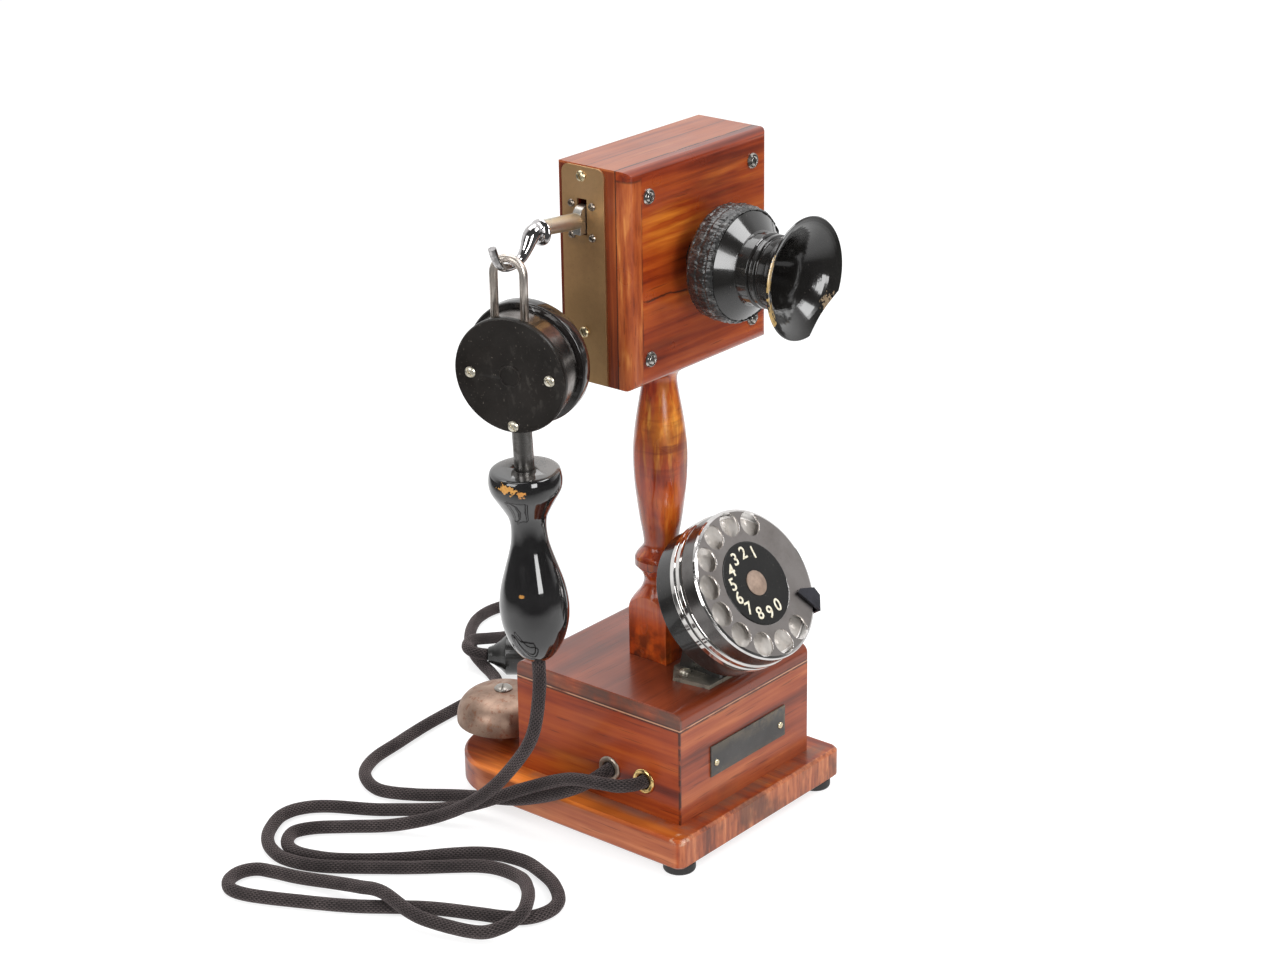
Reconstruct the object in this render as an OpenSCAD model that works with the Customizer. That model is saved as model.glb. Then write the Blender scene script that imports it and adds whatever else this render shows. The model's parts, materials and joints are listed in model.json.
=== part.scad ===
/* [Base] */
// Width of the base plate
plate_w = 128.6; // [122:0.2:140]
// Distance from the column axis to the front edge of the base plate
plate_front = 62; // [58:0.5:70]
// Distance from the column axis to the back edge of the base plate
plate_back = 95; // [90:0.5:104]
// Thickness of the base plate
plate_t = 15.6; // [12:0.1:19]
// Corner radius at the front of the base plate
plate_front_r = 5.5; // [3:0.5:9]
// Corner radius at the back of the base plate
plate_back_r = 35; // [24:0.5:40]
// Rounding of the edges of the base plate
plate_edge = 1.4; // [0.6:0.1:2.5]
// Height of the rubber feet
foot_h = 5; // [4:0.1:8]
// Radius of the rubber feet
foot_r = 7.9; // [6:0.1:9.5]
// Width of the base box
box_w = 100.4; // [94:0.2:108]
// Depth of the base box
box_d = 101.8; // [98:0.2:106]
// Height of the walls of the base box
box_h = 48.8; // [45:0.2:56]
// Thickness of the walls of the base box
box_wall = 8; // [6.5:0.1:9]
// Thickness of the lid of the base box
lid_t = 9; // [7.5:0.1:12]
// Rounding of the front and back edges of the lid
lid_r = 4.5; // [2:0.1:6]

/* [Nameplate] */
// Width of the nameplate
name_w = 58.4; // [45:0.2:70]
// Height of the nameplate
name_h = 16; // [12:0.2:20]
// Thickness of the nameplate
name_t = 0.8; // [0.6:0.1:1.5]
// Distance of the nameplate's middle to the right of the column axis
name_x = 1.7; // [-4:0.1:4]
// Height of the nameplate's middle above the base plate
name_z = 24.4; // [18:0.1:28]

/* [Cord grommets] */
// Radius of the flange of a grommet
grommet_r = 6.4; // [5.8:0.1:7.4]
// Radius of the bore of a grommet
grommet_bore_r = 3.6; // [3.5:0.05:4]
// Thickness of the flange of a grommet
grommet_t = 1.2; // [0.8:0.1:2]
// Height of the grommets above the base plate
grommet_z = 16.6; // [12:0.1:22]
// Distance of the front grommet in front of the column axis
front_grommet_y = 28.8; // [24:0.1:34]
// Distance of the rear grommet in front of the column axis
rear_grommet_y = 7.5; // [4:0.1:12]

/* [Bells] */
// Radius of a gong at its rim
gong_r = 23.7; // [22:0.1:24.5]
// Height of a gong
gong_h = 16.3; // [14:0.1:19]
// Wall of a gong
gong_wall = 1.3; // [1:0.1:1.8]
// Half of the distance between the two gong posts
gong_x = 28; // [27:0.1:30]
// Distance of the gong posts behind the column axis
gong_y = 81; // [79:0.1:84]
// Height of the gong rim above the base plate
gong_lift = 8.2; // [6:0.1:11]
// Radius of a gong post
post_r = 4; // [3:0.1:5]
// Radius of the clapper's ball
ball_r = 2.5; // [2:0.1:2.8]

/* [Column] */
// Side of the square foot of the column
foot_sq = 23; // [20:0.1:25]
// Height of the square foot of the column
foot_sq_h = 27.6; // [22:0.1:32]
// Height of the column
column_h = 154; // [148:0.5:166]
// Scale of the column's turned radii
turning = 1; // [0.95:0.01:1.08]
// Radius of the tie rod in the column
tie_r = 3.8; // [3:0.1:4.4]

/* [Head] */
// Width of the head
head_w = 100.9; // [96:0.1:108]
// Height of the head
head_h = 102.2; // [98:0.2:110]
// Depth of the head case without its front panel
head_d = 33; // [32:0.1:40]
// Distance of the head case's front face before the column axis
head_front = 17.6; // [17:0.1:20]
// Thickness of the walls of the head case
head_wall = 7; // [5.5:0.1:8]
// Thickness of the front panel
panel_t = 8.3; // [6.5:0.1:10]
// Rounding of the front edges of the front panel
panel_r = 4.5; // [2:0.1:5.5]
// Distance of the panel screws from the sides of the panel
panel_screw_x = 12.6; // [11:0.1:14]
// Distance of the panel screws from the top and bottom of the panel
panel_screw_z = 13; // [11:0.1:15]
// Radius of the cup washers of the panel screws
panel_cup_r = 3.7; // [3:0.1:4.2]

/* [Switch hook] */
// Thickness of the brass plate at the side of the head
brass_t = 1.05; // [0.8:0.05:1.6]
// Width of the brass plate
brass_w = 24.6; // [20:0.1:28]
// Distance of the switch hook's plane behind the column axis
hook_y = 1.3; // [0:0.1:2]
// Height of the lever above the bottom of the head
lever_z = 77.3; // [74:0.1:79]
// Height of the lever where it leaves the head
lever_h = 13; // [10:0.1:14]
// Thickness of the lever
lever_t = 4.6; // [3.6:0.1:5]
// Distance of the lever's pivot to the left of the column axis
pivot_x = 16; // [12:0.1:20]
// Radius of the lever's pivot pin
pivot_r = 2; // [1.5:0.1:2.5]
// Radial running clearance of the pivots and of the dial shaft
running = 0.06; // [0.04:0.01:0.09]
// Radius of the hook's wire at the bottom of the hook
hook_r = 1.9; // [1.6:0.05:2.2]

/* [Transmitter] */
// Height of the transmitter's axis above the bottom of the head
mouth_z = 52.6; // [49:0.1:55]
// Distance of the transmitter cup from the front panel
stem_l = 11.2; // [9:0.1:15]
// Radius of the transmitter's stem
stem_r = 6; // [5:0.1:7]
// Radius of the transmitter cup under its tape
cup_r = 26.3; // [25:0.1:28]
// Length of the transmitter cup
cup_l = 14.7; // [13.5:0.1:18]
// Wall of the transmitter cup
cup_wall = 1.6; // [1.2:0.1:2.4]
// Thickness of the tape bound round the cup
tape_t = 0.9; // [0.6:0.1:1.5]
// Length of the mouthpiece in front of the cup
horn_l = 33.2; // [31:0.1:36]
// Radius of the mouthpiece at its rim
horn_r = 28.4; // [27:0.1:30]
// Wall of the mouthpiece
horn_wall = 1.7; // [1.3:0.1:2.2]

/* [Receiver] */
// Radius of the receiver's back cover
cover_r = 27.2; // [26.8:0.1:28.5]
// Thickness of the receiver's back cover
cover_t = 3; // [2.4:0.1:3.6]
// Radius of the receiver's case
case_r = 26.4; // [25.6:0.1:26.6]
// Width of the receiver's case
case_w = 11.5; // [11:0.1:13]
// Wall of the receiver's case
case_wall = 2.2; // [1.6:0.1:2.6]
// Radius of the ear cap
ear_r = 29; // [27.6:0.1:30]
// Thickness of the ear cap
ear_t = 10.5; // [9.5:0.1:12]
// Radius of the listening hole
ear_hole_r = 5; // [3.5:0.1:7]
// Radius of the bail's wire
bail_r = 1.9; // [1.5:0.05:2.1]
// Half of the distance between the bail's legs
bail_half = 7.3; // [7:0.1:8.6]
// Radius of the neck tube
neck_r = 4.6; // [4:0.1:5]
// Bare length of the neck tube between the case and the handle
neck_l = 21.4; // [18:0.1:24]
// Length of the handle
handle_l = 95.4; // [88:0.2:96]
// Radius of the handle's belly
handle_r = 16.1; // [14.5:0.1:17]

/* [Dial] */
// Radius of the finger wheel
wheel_r = 37.5; // [36:0.1:38.5]
// Thickness of the finger wheel's face
wheel_t = 1.2; // [1:0.1:1.8]
// Depth of the finger wheel's skirt
skirt_h = 9.5; // [8.6:0.1:9.8]
// Radius of the circle that the finger holes lie on
hole_circle_r = 30.3; // [29:0.1:30.6]
// Radius of a finger hole
hole_r = 6.1; // [5.5:0.1:6.3]
// Radius of the number plate
number_r = 20.75; // [18:0.1:21.5]
// Width of the dial's bright ring
ring_w = 8.2; // [7:0.1:9]
// Radius of the dial's black case
dial_case_r = 37; // [35:0.1:37.6]
// Depth of the dial's black case
dial_case_d = 11.6; // [10:0.1:12]
// Tilt of the dial's face back from upright
dial_tilt = 34.5; // [33:0.1:36]
// Radius of the dial shaft
shaft_r = 3; // [2.5:0.1:3.5]
// Thickness of the dial's bracket
bracket_t = 2; // [1.6:0.1:2.2]

/* [Cords] */
// Diameter of the braided cords
cord_d = 6.5; // [6:0.1:6.8]
// Radius of the plug's body
plug_r = 11; // [9:0.1:11.2]
// Length of the plug's body
plug_l = 27; // [20:0.5:30]

/* [Hidden] */
$fn = 64;
// Radial clearance of a screw or a spigot in its hole
fit = 0.05;
// Gap between pieces that move past each other
gap = 0.3;
// Amount by which a cutting shape runs past the face that it cuts
past = 1;

// Heights of the main pieces
plate_top = foot_h + plate_t;
box_top = plate_top + box_h;
lid_top = box_top + lid_t;
head_bottom = lid_top + column_h;
head_top = head_bottom + head_h;
grommet_up = plate_top + grommet_z;
mouth_up = head_bottom + mouth_z;

// Places of the feet: half spacing at the front and back, and distance of each pair
foot_front_x = plate_w / 2 - 10.3;
foot_front_y = -plate_front + 9;
foot_back_x = plate_w / 2 - 20.3;
foot_back_y = plate_back - 21;

// Screws through the base plate into the walls of the box
base_screw_r = 1.75;
base_screw_y = 42;
base_screw_x = box_w / 2 - box_wall / 2;
base_screw_l = 24;
countersink = 3;

// Ringer: height and depth of its parts behind the column axis
ring_up = plate_top + 10.4;
ringer_back = box_d / 2 - box_wall - 0.9;
armature_y = ringer_back - 4.8;
pole_y = armature_y - 7.7;
pole_t = 2;
armature_half = 18;
armature_t = 2.5;
coil_r = 8;
coil_x = 11;
coil_l = 25;
coil_front = armature_y - 29.2;
coil_flange = 1.5;
rod_r = 1;
pin_r = 1.2;
frame_t = 2;
frame_half = 22;
slot_half = 4;
gong_rim = plate_top + gong_lift;
gong_top = gong_rim + gong_h;
gong_screw_r = 2;
gong_screw_l = 8;
gong_head_r = 4.6;
gong_head_h = 1.8;
spigot_r = 2.5;
spigot_l = 8;

// Head: faces of the case and the panel
head_back = head_d - head_front;
panel_face = head_front + panel_t;
back_wall = 5;
screw_block = 10;
screw_block_d = 14;
panel_screw_half = head_w / 2 - panel_screw_x;
panel_screw_r = 1.6;
panel_screw_l = 16;
brass_x = head_w / 2 + brass_t;
brass_y = hook_y - brass_w / 2 - 0.7;

// Switch hook: its pivot and the slot that its lever moves in
lever_up = head_bottom + lever_z;
pivot_up = lever_up - 2.6;
lever_out = 4;
lever_x = brass_x + lever_out;
slot_bottom = lever_up - lever_h / 2 - 0.7;
slot_top = lever_up + lever_h / 2 + 2.9;
slot_w = lever_t + 1;
sleeve_r = 3.8;
sleeve_tip_r = 3.6;
sleeve_l = 22.9;
sleeve_rise = 5.5;
// The hook's collar sits a little below the middle of the sleeve
collar_r = 6;
collar_drop = 1.8;
sleeve_end = [-lever_x - sleeve_l * cos(sleeve_rise), hook_y, lever_up + sleeve_l * sin(sleeve_rise)];

// Receiver: its middle, its lean from upright and its turn about the upright
receiver_lean = 3.3;
receiver_turn = 15.8;
// The receiver hangs from the hook, so its middle keeps its distances from the lever
receiver_out = 42;
receiver_drop = 58.7;
receiver_at = [-lever_x - receiver_out, hook_y, lever_up - receiver_drop];
cover_x = -(cover_t + case_w / 2 - 0.45);
case_x = cover_x + cover_t;
ear_x = case_x + case_w;
bail_at = receiver_at - [3.9, 0, 0];
bail_top = 52.7;
bail_low = 20;
handle_top = -(case_r + neck_l);
handle_end = handle_top - handle_l;
tube_in = 12;
cover_screw_y = 19.4;
cover_screw_z = 23.9;
cover_screw_r = 1.2;
cover_screw_head = 2.6;
boss_r = 5.2;
flange_in_r = 17;
flange_t = 2;

// Hook: centres and radii of its wire, from the collar to the tip, beside the bail
hook_x = receiver_at[0] - 4.9;
hook_floor = bail_at[2] + bail_top - bail_r - gap - 0.1 - hook_r;
hook_wire = [
    [hook_x + 23.2, hook_floor + 11.2, 3.2], [hook_x + 19.4, hook_floor + 12.2, 3.8],
    [hook_x + 16.1, hook_floor + 10.2, 3.7], [hook_x + 13.7, hook_floor + 6.2, 3],
    [hook_x + 10.4, hook_floor + 2.4, 2.4], [hook_x + 5.6, hook_floor + 0.3, 2.1],
    [hook_x, hook_floor, hook_r], [hook_x - 4.2, hook_floor + 1.8, hook_r],
    [hook_x - 7, hook_floor + 5.8, hook_r], [hook_x - 8.9, hook_floor + 10.8, hook_r]
];

// Transmitter: distances in front of the column axis
cup_back = panel_face + stem_l;
cup_front = cup_back + cup_l;
horn_rim = cup_front + horn_l;

// Middle of the whole object without its cords, from the column axis
middle = [(plate_w / 2 + hook_wire[9][0] - hook_r) / 2, (gong_y + gong_r - horn_rim) / 2, 0];

// Dial: its middle on the face of the finger wheel
dial_gap = 0.5;
dial_case_back = skirt_h + dial_gap + ring_w + dial_case_d;
dial_up = 51.7;
dial_at = [0, -57.3, lid_top + dial_up];
dish_r = wheel_r - wheel_t - 0.7;
dish_h = 5.5;
first_hole = 60.4;
hole_step = 26;
holes = 10;
hub_r = 6.5;
hub_h = 4.2;
cap_r = 6.2;
number_t = 0.8;
number_sunk = 0.5;
stop_t = 1.2;
stop_gap = 0.6;
stop_angle = -35;
ring_back = skirt_h + dial_gap + ring_w;
ring_r = max(wheel_r + 0.7, dial_case_r + 1.2);

// Cords: radius, sides and rings of the plain tubes
cord_r = cord_d / 2;
cord_sides = 8;
receiver_rings = 52;
line_rings = 28;
cord_low = 3.5;
plug_up = plug_r + 0.2;

// Route of the receiver cord, from the handle to the front grommet
receiver_route = [
    [-89.2, 1.3, 107.6], [-89, 1.6, 90], [-90, 7, 64], [-93, 22, 41], [-96, 39, 24],
    [-101, 57, 12], [-112, 77, 5], [-126, 96, cord_low], [-137, 108, cord_low],
    [-146.5, 113, cord_low], [-155, 108.5, cord_low], [-159.6, 99.5, cord_low],
    [-158, 89, cord_low], [-151, 75, cord_low], [-134, 54, cord_low], [-107, 29, cord_low],
    [-99, 8, cord_low], [-103, -11, cord_low], [-109, -23, cord_low], [-118, -32.5, cord_low],
    [-128, -34.8, cord_low], [-138, -30.5, cord_low], [-144, -21.5, cord_low],
    [-149.5, -9, cord_low], [-160, 12, cord_low], [-180, 41, cord_low], [-194, 67, cord_low],
    [-202, 85, cord_low], [-203.5, 96, cord_low], [-198.5, 102.8, cord_low],
    [-190, 104.4, cord_low], [-182.8, 100.4, cord_low], [-179.5, 92, cord_low],
    [-176.5, 78, 4], [-172, 62, 5], [-170, 45, 7.6], [-170.5, 29, 10.6],
    [-172, 4, 7], [-164, -22, 5], [-156.5, -32, 7.6], [-146, -34.5, 10.4], [-136, -29.5, 10.8],
    [-122, -17, 7], [-113, -3, 4.4], [-115, 18, cord_low], [-140, 48, cord_low],
    [-161, 77, cord_low], [-167.3, 96, cord_low], [-165, 109, cord_low], [-158, 119, cord_low],
    [-148.5, 126, cord_low], [-138, 130, cord_low], [-127.5, 128, cord_low], [-117, 118.5, cord_low],
    [-103, 93, 4.2], [-87, 58, 10.4], [-74.5, 26, 25.5], [-70, 3, 36], [-67.3, -14, 38.6],
    [-63.4, -24.4, 38.5], [-54.5, -28.6, 37.5], [-46, -28.8, 37.2]
];
// Route of the line cord, from the rear grommet to the plug
line_route = [
    [-46, -7.5, 37.2], [-54, -7.2, 36.6], [-61.5, -3.5, 33.2], [-66.5, 6, 27.5], [-69.5, 20, 21],
    [-71, 35, 15.5], [-72.5, 50, 12], [-77, 70, 8.5], [-84, 92, 5], [-89, 112, cord_low],
    [-82, 128, cord_low], [-67, 137, cord_low], [-45, 140, cord_low], [-20, 143, cord_low],
    [5, 144, cord_low], [27, 144, cord_low], [39, 148, cord_low], [45.5, 157, cord_low],
    [52, 170, cord_low], [60, 184, cord_low], [73, 199, cord_low], [90, 211, cord_low],
    [103, 215, cord_low], [115, 214, cord_low], [125.6, 209.2, cord_low], [130, 198.5, cord_low],
    [126, 188, cord_low], [115, 183.4, cord_low], [102, 183, cord_low], [88, 184, cord_low],
    [75, 185, 6.6], [61, 185.2, 10.4], [51.8, 181, 11.2], [48.2, 172.2, 11.3],
    [50.8, 164.4, plug_up]
];
plug_at = [50.8, 164.4, plug_up];
plug_turn = -52;
plug_neck = 8;
plug_neck_r = 4.1;

// A point on the smooth curve through a list of points, at place u counted in points
function curve_at(pts, u) =
    let(last = len(pts) - 1)
    let(i = min(floor(u), last - 1))
    let(t = u - i)
    let(a = pts[max(i - 1, 0)], b = pts[i], c = pts[i + 1], d = pts[min(i + 2, last)])
    0.5 * ((2 * b) + (c - a) * t + (2 * a - 5 * b + 4 * c - d) * t * t
        + (3 * b - a - 3 * c + d) * t * t * t);
// A smooth list of points with a number of steps for each stretch
function smooth(pts, steps) =
    [for (k = [0 : (len(pts) - 1) * steps]) curve_at(pts, k / steps)];
function unit(v) = v / norm(v);
// Directions along a path, one for each point
function along(p) =
    [for (i = [0 : len(p) - 1]) unit(p[min(i + 1, len(p) - 1)] - p[max(i - 1, 0)])];
// Side directions carried along a path without twisting
function carried(t, i, u) =
    let(v = unit(u - (u * t[i]) * t[i]))
    i == len(t) - 1 ? [v] : concat([v], carried(t, i + 1, v));

// A closed tube along the path p with one radius for each point
module tube(p, r, sides) {
    t = along(p);
    u = carried(t, 0, abs(t[0][2]) > 0.9 ? [1, 0, 0] : [0, 0, 1]);
    n = len(p);
    rings = [for (i = [0 : n - 1], k = [0 : sides - 1])
        let(a = (k + 0.5) * 360 / sides)
        p[i] + r[i] * (cos(a) * u[i] + sin(a) * cross(t[i], u[i]))];
    side_faces = [for (i = [0 : n - 2], k = [0 : sides - 1], half = [0, 1])
        let(k2 = (k + 1) % sides)
        half == 0 ? [i * sides + k, (i + 1) * sides + k2, i * sides + k2]
            : [i * sides + k, (i + 1) * sides + k, (i + 1) * sides + k2]];
    ends = [for (k = [1 : sides - 2], end = [0, 1])
        end == 0 ? [0, k, k + 1] : [(n - 1) * sides, (n - 1) * sides + k + 1, (n - 1) * sides + k]];
    polyhedron(points = rings, faces = concat(side_faces, ends));
}

// A turned solid from points of radius and height
module turned(points) { rotate_extrude() polygon(points); }
// A turned tube along Y towards the front, from points of radius and distance
module turned_front(points) { rotate([90, 0, 0]) rotate_extrude() polygon(points); }
// A cylinder along Y from y0 towards the front to y1
module front_rod(y0, y1, r) { translate([0, -y0, 0]) rotate([90, 0, 0]) cylinder(r = r, h = y1 - y0); }
// A cylinder along X from x0 to x1
module side_rod(x0, x1, r) { translate([x0, 0, 0]) rotate([0, 90, 0]) cylinder(r = r, h = x1 - x0); }
// A block between two corners
module block(low, high) { translate(low) cube(high - low); }

module on_receiver() {
    translate(receiver_at) rotate([0, -receiver_lean, 0]) rotate([0, 0, receiver_turn]) children();
}
// The receiver's own turned pieces, from points of radius and distance along its axis
module receiver_turned(points) { on_receiver() rotate([0, 90, 0]) rotate_extrude() polygon(points); }
module on_dial() { translate(dial_at) rotate([90 - dial_tilt, 0, 0]) children(); }
// Places in the corners of a rectangle about the column axis
module four(x, y) { for (sx = [-1, 1], sy = [-1, 1]) translate([sx * x, sy * y, 0]) children(); }

module base_plate() {
    front_x = plate_w / 2 - plate_front_r;
    back_x = plate_w / 2 - plate_back_r;
    color("saddlebrown") difference() {
        hull() for (side = [-1, 1], inset = [0, 1]) {
            translate([side * front_x, plate_front_r - plate_front, foot_h + inset * plate_edge])
                cylinder(r = plate_front_r - (1 - inset) * plate_edge, h = plate_t - 2 * inset * plate_edge,
                    $fn = 48);
            translate([side * back_x, plate_back - plate_back_r, foot_h + inset * plate_edge])
                cylinder(r = plate_back_r - (1 - inset) * plate_edge, h = plate_t - 2 * inset * plate_edge,
                    $fn = 96);
        }
        four(base_screw_x, base_screw_y) base_screw(fit);
        for (side = [-1, 1]) translate([side * gong_x, gong_y, plate_top - spigot_l])
            cylinder(r = spigot_r + fit, h = spigot_l + past);
    }
}

// One countersunk screw, enlarged all round by a clearance
module base_screw(clear) {
    translate([0, 0, foot_h])
        cylinder(r1 = 2 * base_screw_r + clear, r2 = base_screw_r + clear, h = countersink);
    translate([0, 0, foot_h]) cylinder(r = base_screw_r + clear, h = plate_t + base_screw_l + clear);
}

module base_screws() { color("gray") four(base_screw_x, base_screw_y) base_screw(0); }

module rubber_feet() {
    color("dimgray") for (side = [-1, 1]) {
        translate([side * foot_front_x, foot_front_y, 0]) rubber_foot();
        translate([side * foot_back_x, foot_back_y, 0]) rubber_foot();
    }
}

module rubber_foot() {
    turned([[0, 0], [foot_r - 1.2, 0], [foot_r - 0.4, 0.4], [foot_r, 1.2], [foot_r, foot_h], [0, foot_h]]);
}

module base_box() {
    color("sienna") difference() {
        translate([-box_w / 2, -box_d / 2, plate_top]) cube([box_w, box_d, box_h]);
        translate([-box_w / 2 + box_wall, -box_d / 2 + box_wall, plate_top - past])
            cube([box_w - 2 * box_wall, box_d - 2 * box_wall, box_h + 2 * past]);
        for (y = [front_grommet_y, rear_grommet_y]) translate([0, -y, grommet_up])
            side_rod(-box_w / 2 - past, -box_w / 2 + box_wall + past, grommet_bore_r + 1 + fit);
        block([-slot_half, box_d / 2 - box_wall - past, ring_up - slot_half],
            [slot_half, box_d / 2 + past, ring_up + slot_half]);
        four(base_screw_x, base_screw_y) base_screw(fit);
    }
}

module base_lid() {
    color("sienna") difference() {
        translate([-box_w / 2, 0, box_top]) rotate([90, 0, 90]) linear_extrude(box_w) union() {
            translate([-box_d / 2, 0]) square([box_d, lid_t - lid_r]);
            translate([-box_d / 2 + lid_r, 0]) square([box_d - 2 * lid_r, lid_t]);
            for (side = [-1, 1]) translate([side * (box_d / 2 - lid_r), lid_t - lid_r]) circle(r = lid_r);
        }
        translate([0, 0, box_top - past]) cylinder(r = tie_r + fit, h = lid_t + 2 * past);
        bracket_screw_places() cylinder(r = bracket_screw_r + fit, h = 2 * bracket_screw_l, center = true);
    }
}

module nameplate() {
    color("black") translate([name_x, -box_d / 2, plate_top + name_z]) difference() {
        translate([-name_w / 2, -name_t, -name_h / 2]) cube([name_w, name_t, name_h]);
        for (side = [-1, 1]) translate([side * name_screw_x, 0, name_screw_z])
            front_rod(-past, name_t + past, name_screw_r + fit);
    }
}

// Nameplate screws: place from the middle of the plate, and sizes
name_screw_x = name_w / 2 - 4;
name_screw_z = -1.5;
name_screw_r = 0.8;
name_head_r = 1.7;

module nameplate_screws() {
    color("silver") translate([name_x, -box_d / 2, plate_top + name_z]) for (side = [-1, 1])
        translate([side * name_screw_x, 0, name_screw_z]) {
            front_rod(0, name_t, name_screw_r);
            translate([0, -name_t, 0]) slotted_head(name_head_r, 0.9, 0.5);
        }
}

// A domed screw head facing the front, with a slot turned by an angle
module slotted_head(r, h, slot, turn = 20) {
    difference() {
        turned_front([[0, 0], [r, 0], [r, 0.35 * h], [0.8 * r, 0.8 * h], [0.4 * r, h], [0, h]]);
        translate([0, -h, 0]) rotate([0, turn, 0]) cube([3 * r, h, slot], center = true);
    }
}

module grommet(y) {
    tube_r = grommet_bore_r + 1;
    translate([-box_w / 2, -y, grommet_up]) rotate([0, -90, 0]) turned([
        [grommet_bore_r, -box_wall - 0.6], [tube_r, -box_wall - 0.6], [tube_r, 0], [grommet_r, 0],
        [grommet_r, 0.5 * grommet_t], [grommet_r - 0.6, grommet_t], [grommet_bore_r + 0.6, grommet_t],
        [grommet_bore_r, 0.5 * grommet_t]]);
}

module front_grommet() { color("gold") grommet(front_grommet_y); }
module rear_grommet() { color("darkkhaki") grommet(rear_grommet_y); }

// Outline of a gong, shrunk inwards by a wall
function gong_line(wall) = [for (p = smooth([[gong_r, 0], [gong_r, 3], [gong_r - 0.6, 6.6],
    [gong_r - 2.2, 10], [gong_r - 5.2, 13], [gong_r - 10, gong_h - 1.2],
    [post_r + 1.5, gong_h], [gong_screw_r, gong_h]], 3))
    let(z = min(p[1], gong_h))
    [max(p[0] - wall, gong_screw_r + fit), z - (z > 2 ? wall * z / gong_h : 0)]];

module gong(side) {
    inner = gong_line(gong_wall);
    outer = gong_line(0);
    color("rosybrown") translate([side * gong_x, gong_y, gong_rim])
        turned(concat(outer, [for (i = [len(inner) - 1 : -1 : 0]) inner[i]]));
}

module left_gong() { gong(-1); }
module right_gong() { gong(1); }

module gong_posts() {
    color("dimgray") for (side = [-1, 1]) translate([side * gong_x, gong_y, 0]) difference() {
        union() {
            translate([0, 0, plate_top]) cylinder(r = post_r, h = gong_top - gong_wall - plate_top);
            translate([0, 0, plate_top]) cylinder(r = post_r + 2, h = 1.5);
            translate([0, 0, plate_top - spigot_l]) cylinder(r = spigot_r, h = spigot_l + past);
        }
        translate([0, 0, gong_top - gong_wall - gong_screw_l - past])
            cylinder(r = gong_screw_r + fit, h = gong_screw_l + 2 * past);
    }
}

module gong_screws() {
    color("gray") for (side = [-1, 1]) translate([side * gong_x, gong_y, gong_top]) {
        rotate([-90, 0, 0]) slotted_head(gong_head_r, gong_head_h, 0.9, 35 * side);
        translate([0, 0, -gong_wall - gong_screw_l]) cylinder(r = gong_screw_r, h = gong_wall + gong_screw_l);
    }
}

module ringer_frame() {
    lug = armature_t + 4;
    color("dimgray") difference() {
        union() {
            block([-frame_half, coil_front - frame_t, plate_top],
                [frame_half, ringer_back, plate_top + frame_t]);
            block([-frame_half, coil_front - frame_t, plate_top], [frame_half, coil_front, ring_up + coil_r]);
            for (z = [ring_up - 6, ring_up + 4]) block([-lug / 2, armature_y - lug / 2, z],
                [lug / 2, armature_y + lug / 2, z + frame_t]);
            block([-lug / 2, armature_y - lug / 2, plate_top],
                [lug / 2, armature_y + lug / 2, ring_up - 5]);
            block([-lug / 2, pole_y, ring_up - 5], [lug / 2, pole_y + pole_t, ring_up + 6]);
            block([-lug / 2, pole_y, ring_up + 4], [lug / 2, armature_y, ring_up + 6]);
            block([-lug / 2, pole_y, plate_top], [lug / 2, pole_y + pole_t, ring_up]);
        }
        translate([0, armature_y, ring_up - 7]) cylinder(r = pin_r + fit, h = 15);
    }
    color("silver") translate([0, armature_y, ring_up - 7]) cylinder(r = pin_r, h = 13);
}

module ringer_coils() {
    color("firebrick") for (side = [-1, 1])
        translate([side * coil_x, coil_front, ring_up]) rotate([-90, 0, 0]) turned([
            [0, 0], [coil_r, 0], [coil_r, coil_flange], [coil_r - 1, coil_flange],
            [coil_r - 1, coil_l - coil_flange], [coil_r, coil_l - coil_flange], [coil_r, coil_l],
            [3, coil_l], [3, coil_l + 1.4], [0, coil_l + 1.4]]);
}

module clapper() {
    color("silver") difference() {
        union() {
            block([-armature_half, armature_y - armature_t / 2, ring_up - 3],
                [armature_half, armature_y + armature_t / 2, ring_up + 3]);
            translate([0, armature_y, ring_up - 3]) cylinder(r = pin_r + 1.4, h = 6);
            translate([0, armature_y + 1, ring_up]) rotate([-90, 0, 0])
                cylinder(r = rod_r, h = gong_y - armature_y - 1);
            translate([0, gong_y, ring_up]) sphere(r = ball_r);
        }
        translate([0, armature_y, ring_up - 4]) cylinder(r = pin_r + running, h = 8);
    }
}

// Induction coil between the front wall and the ringer: its place, its length and its end blocks
coil_low = [-25, -box_d / 2 + box_wall + 6.9];
coil_long = coil_front - frame_t - 4 - coil_low[1];
coil_block = 22;
coil_end = 3;

module induction_coil() {
    color("darkgreen") translate([coil_low[0], coil_low[1], plate_top]) {
        for (y = [0, coil_long - coil_end]) translate([-coil_block / 2, y, 0])
            cube([coil_block, coil_end, coil_block]);
        translate([0, coil_end, coil_block / 2]) rotate([-90, 0, 0])
            cylinder(r = coil_block / 2 - 2, h = coil_long - 2 * coil_end);
    }
}

// Condenser and terminal block: corners on the base plate, and sizes
condenser_low = [12, -38];
condenser_size = [24, 34, 30];

module condenser() {
    color("tan") translate([condenser_low[0], condenser_low[1], plate_top]) cube(condenser_size);
}

terminal_low = [-9, -37];
terminal_size = [16, 34, 8];

module terminal_places() {
    for (x = [4, 12], y = [6, 17, 28]) translate([terminal_low[0] + x, terminal_low[1] + y,
        plate_top + terminal_size[2]]) children();
}

module terminal_block() {
    color("black") difference() {
        translate([terminal_low[0], terminal_low[1], plate_top]) cube(terminal_size);
        terminal_places() translate([0, 0, -5]) cylinder(r = 1.5 + fit, h = 5 + past);
    }
}

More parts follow.
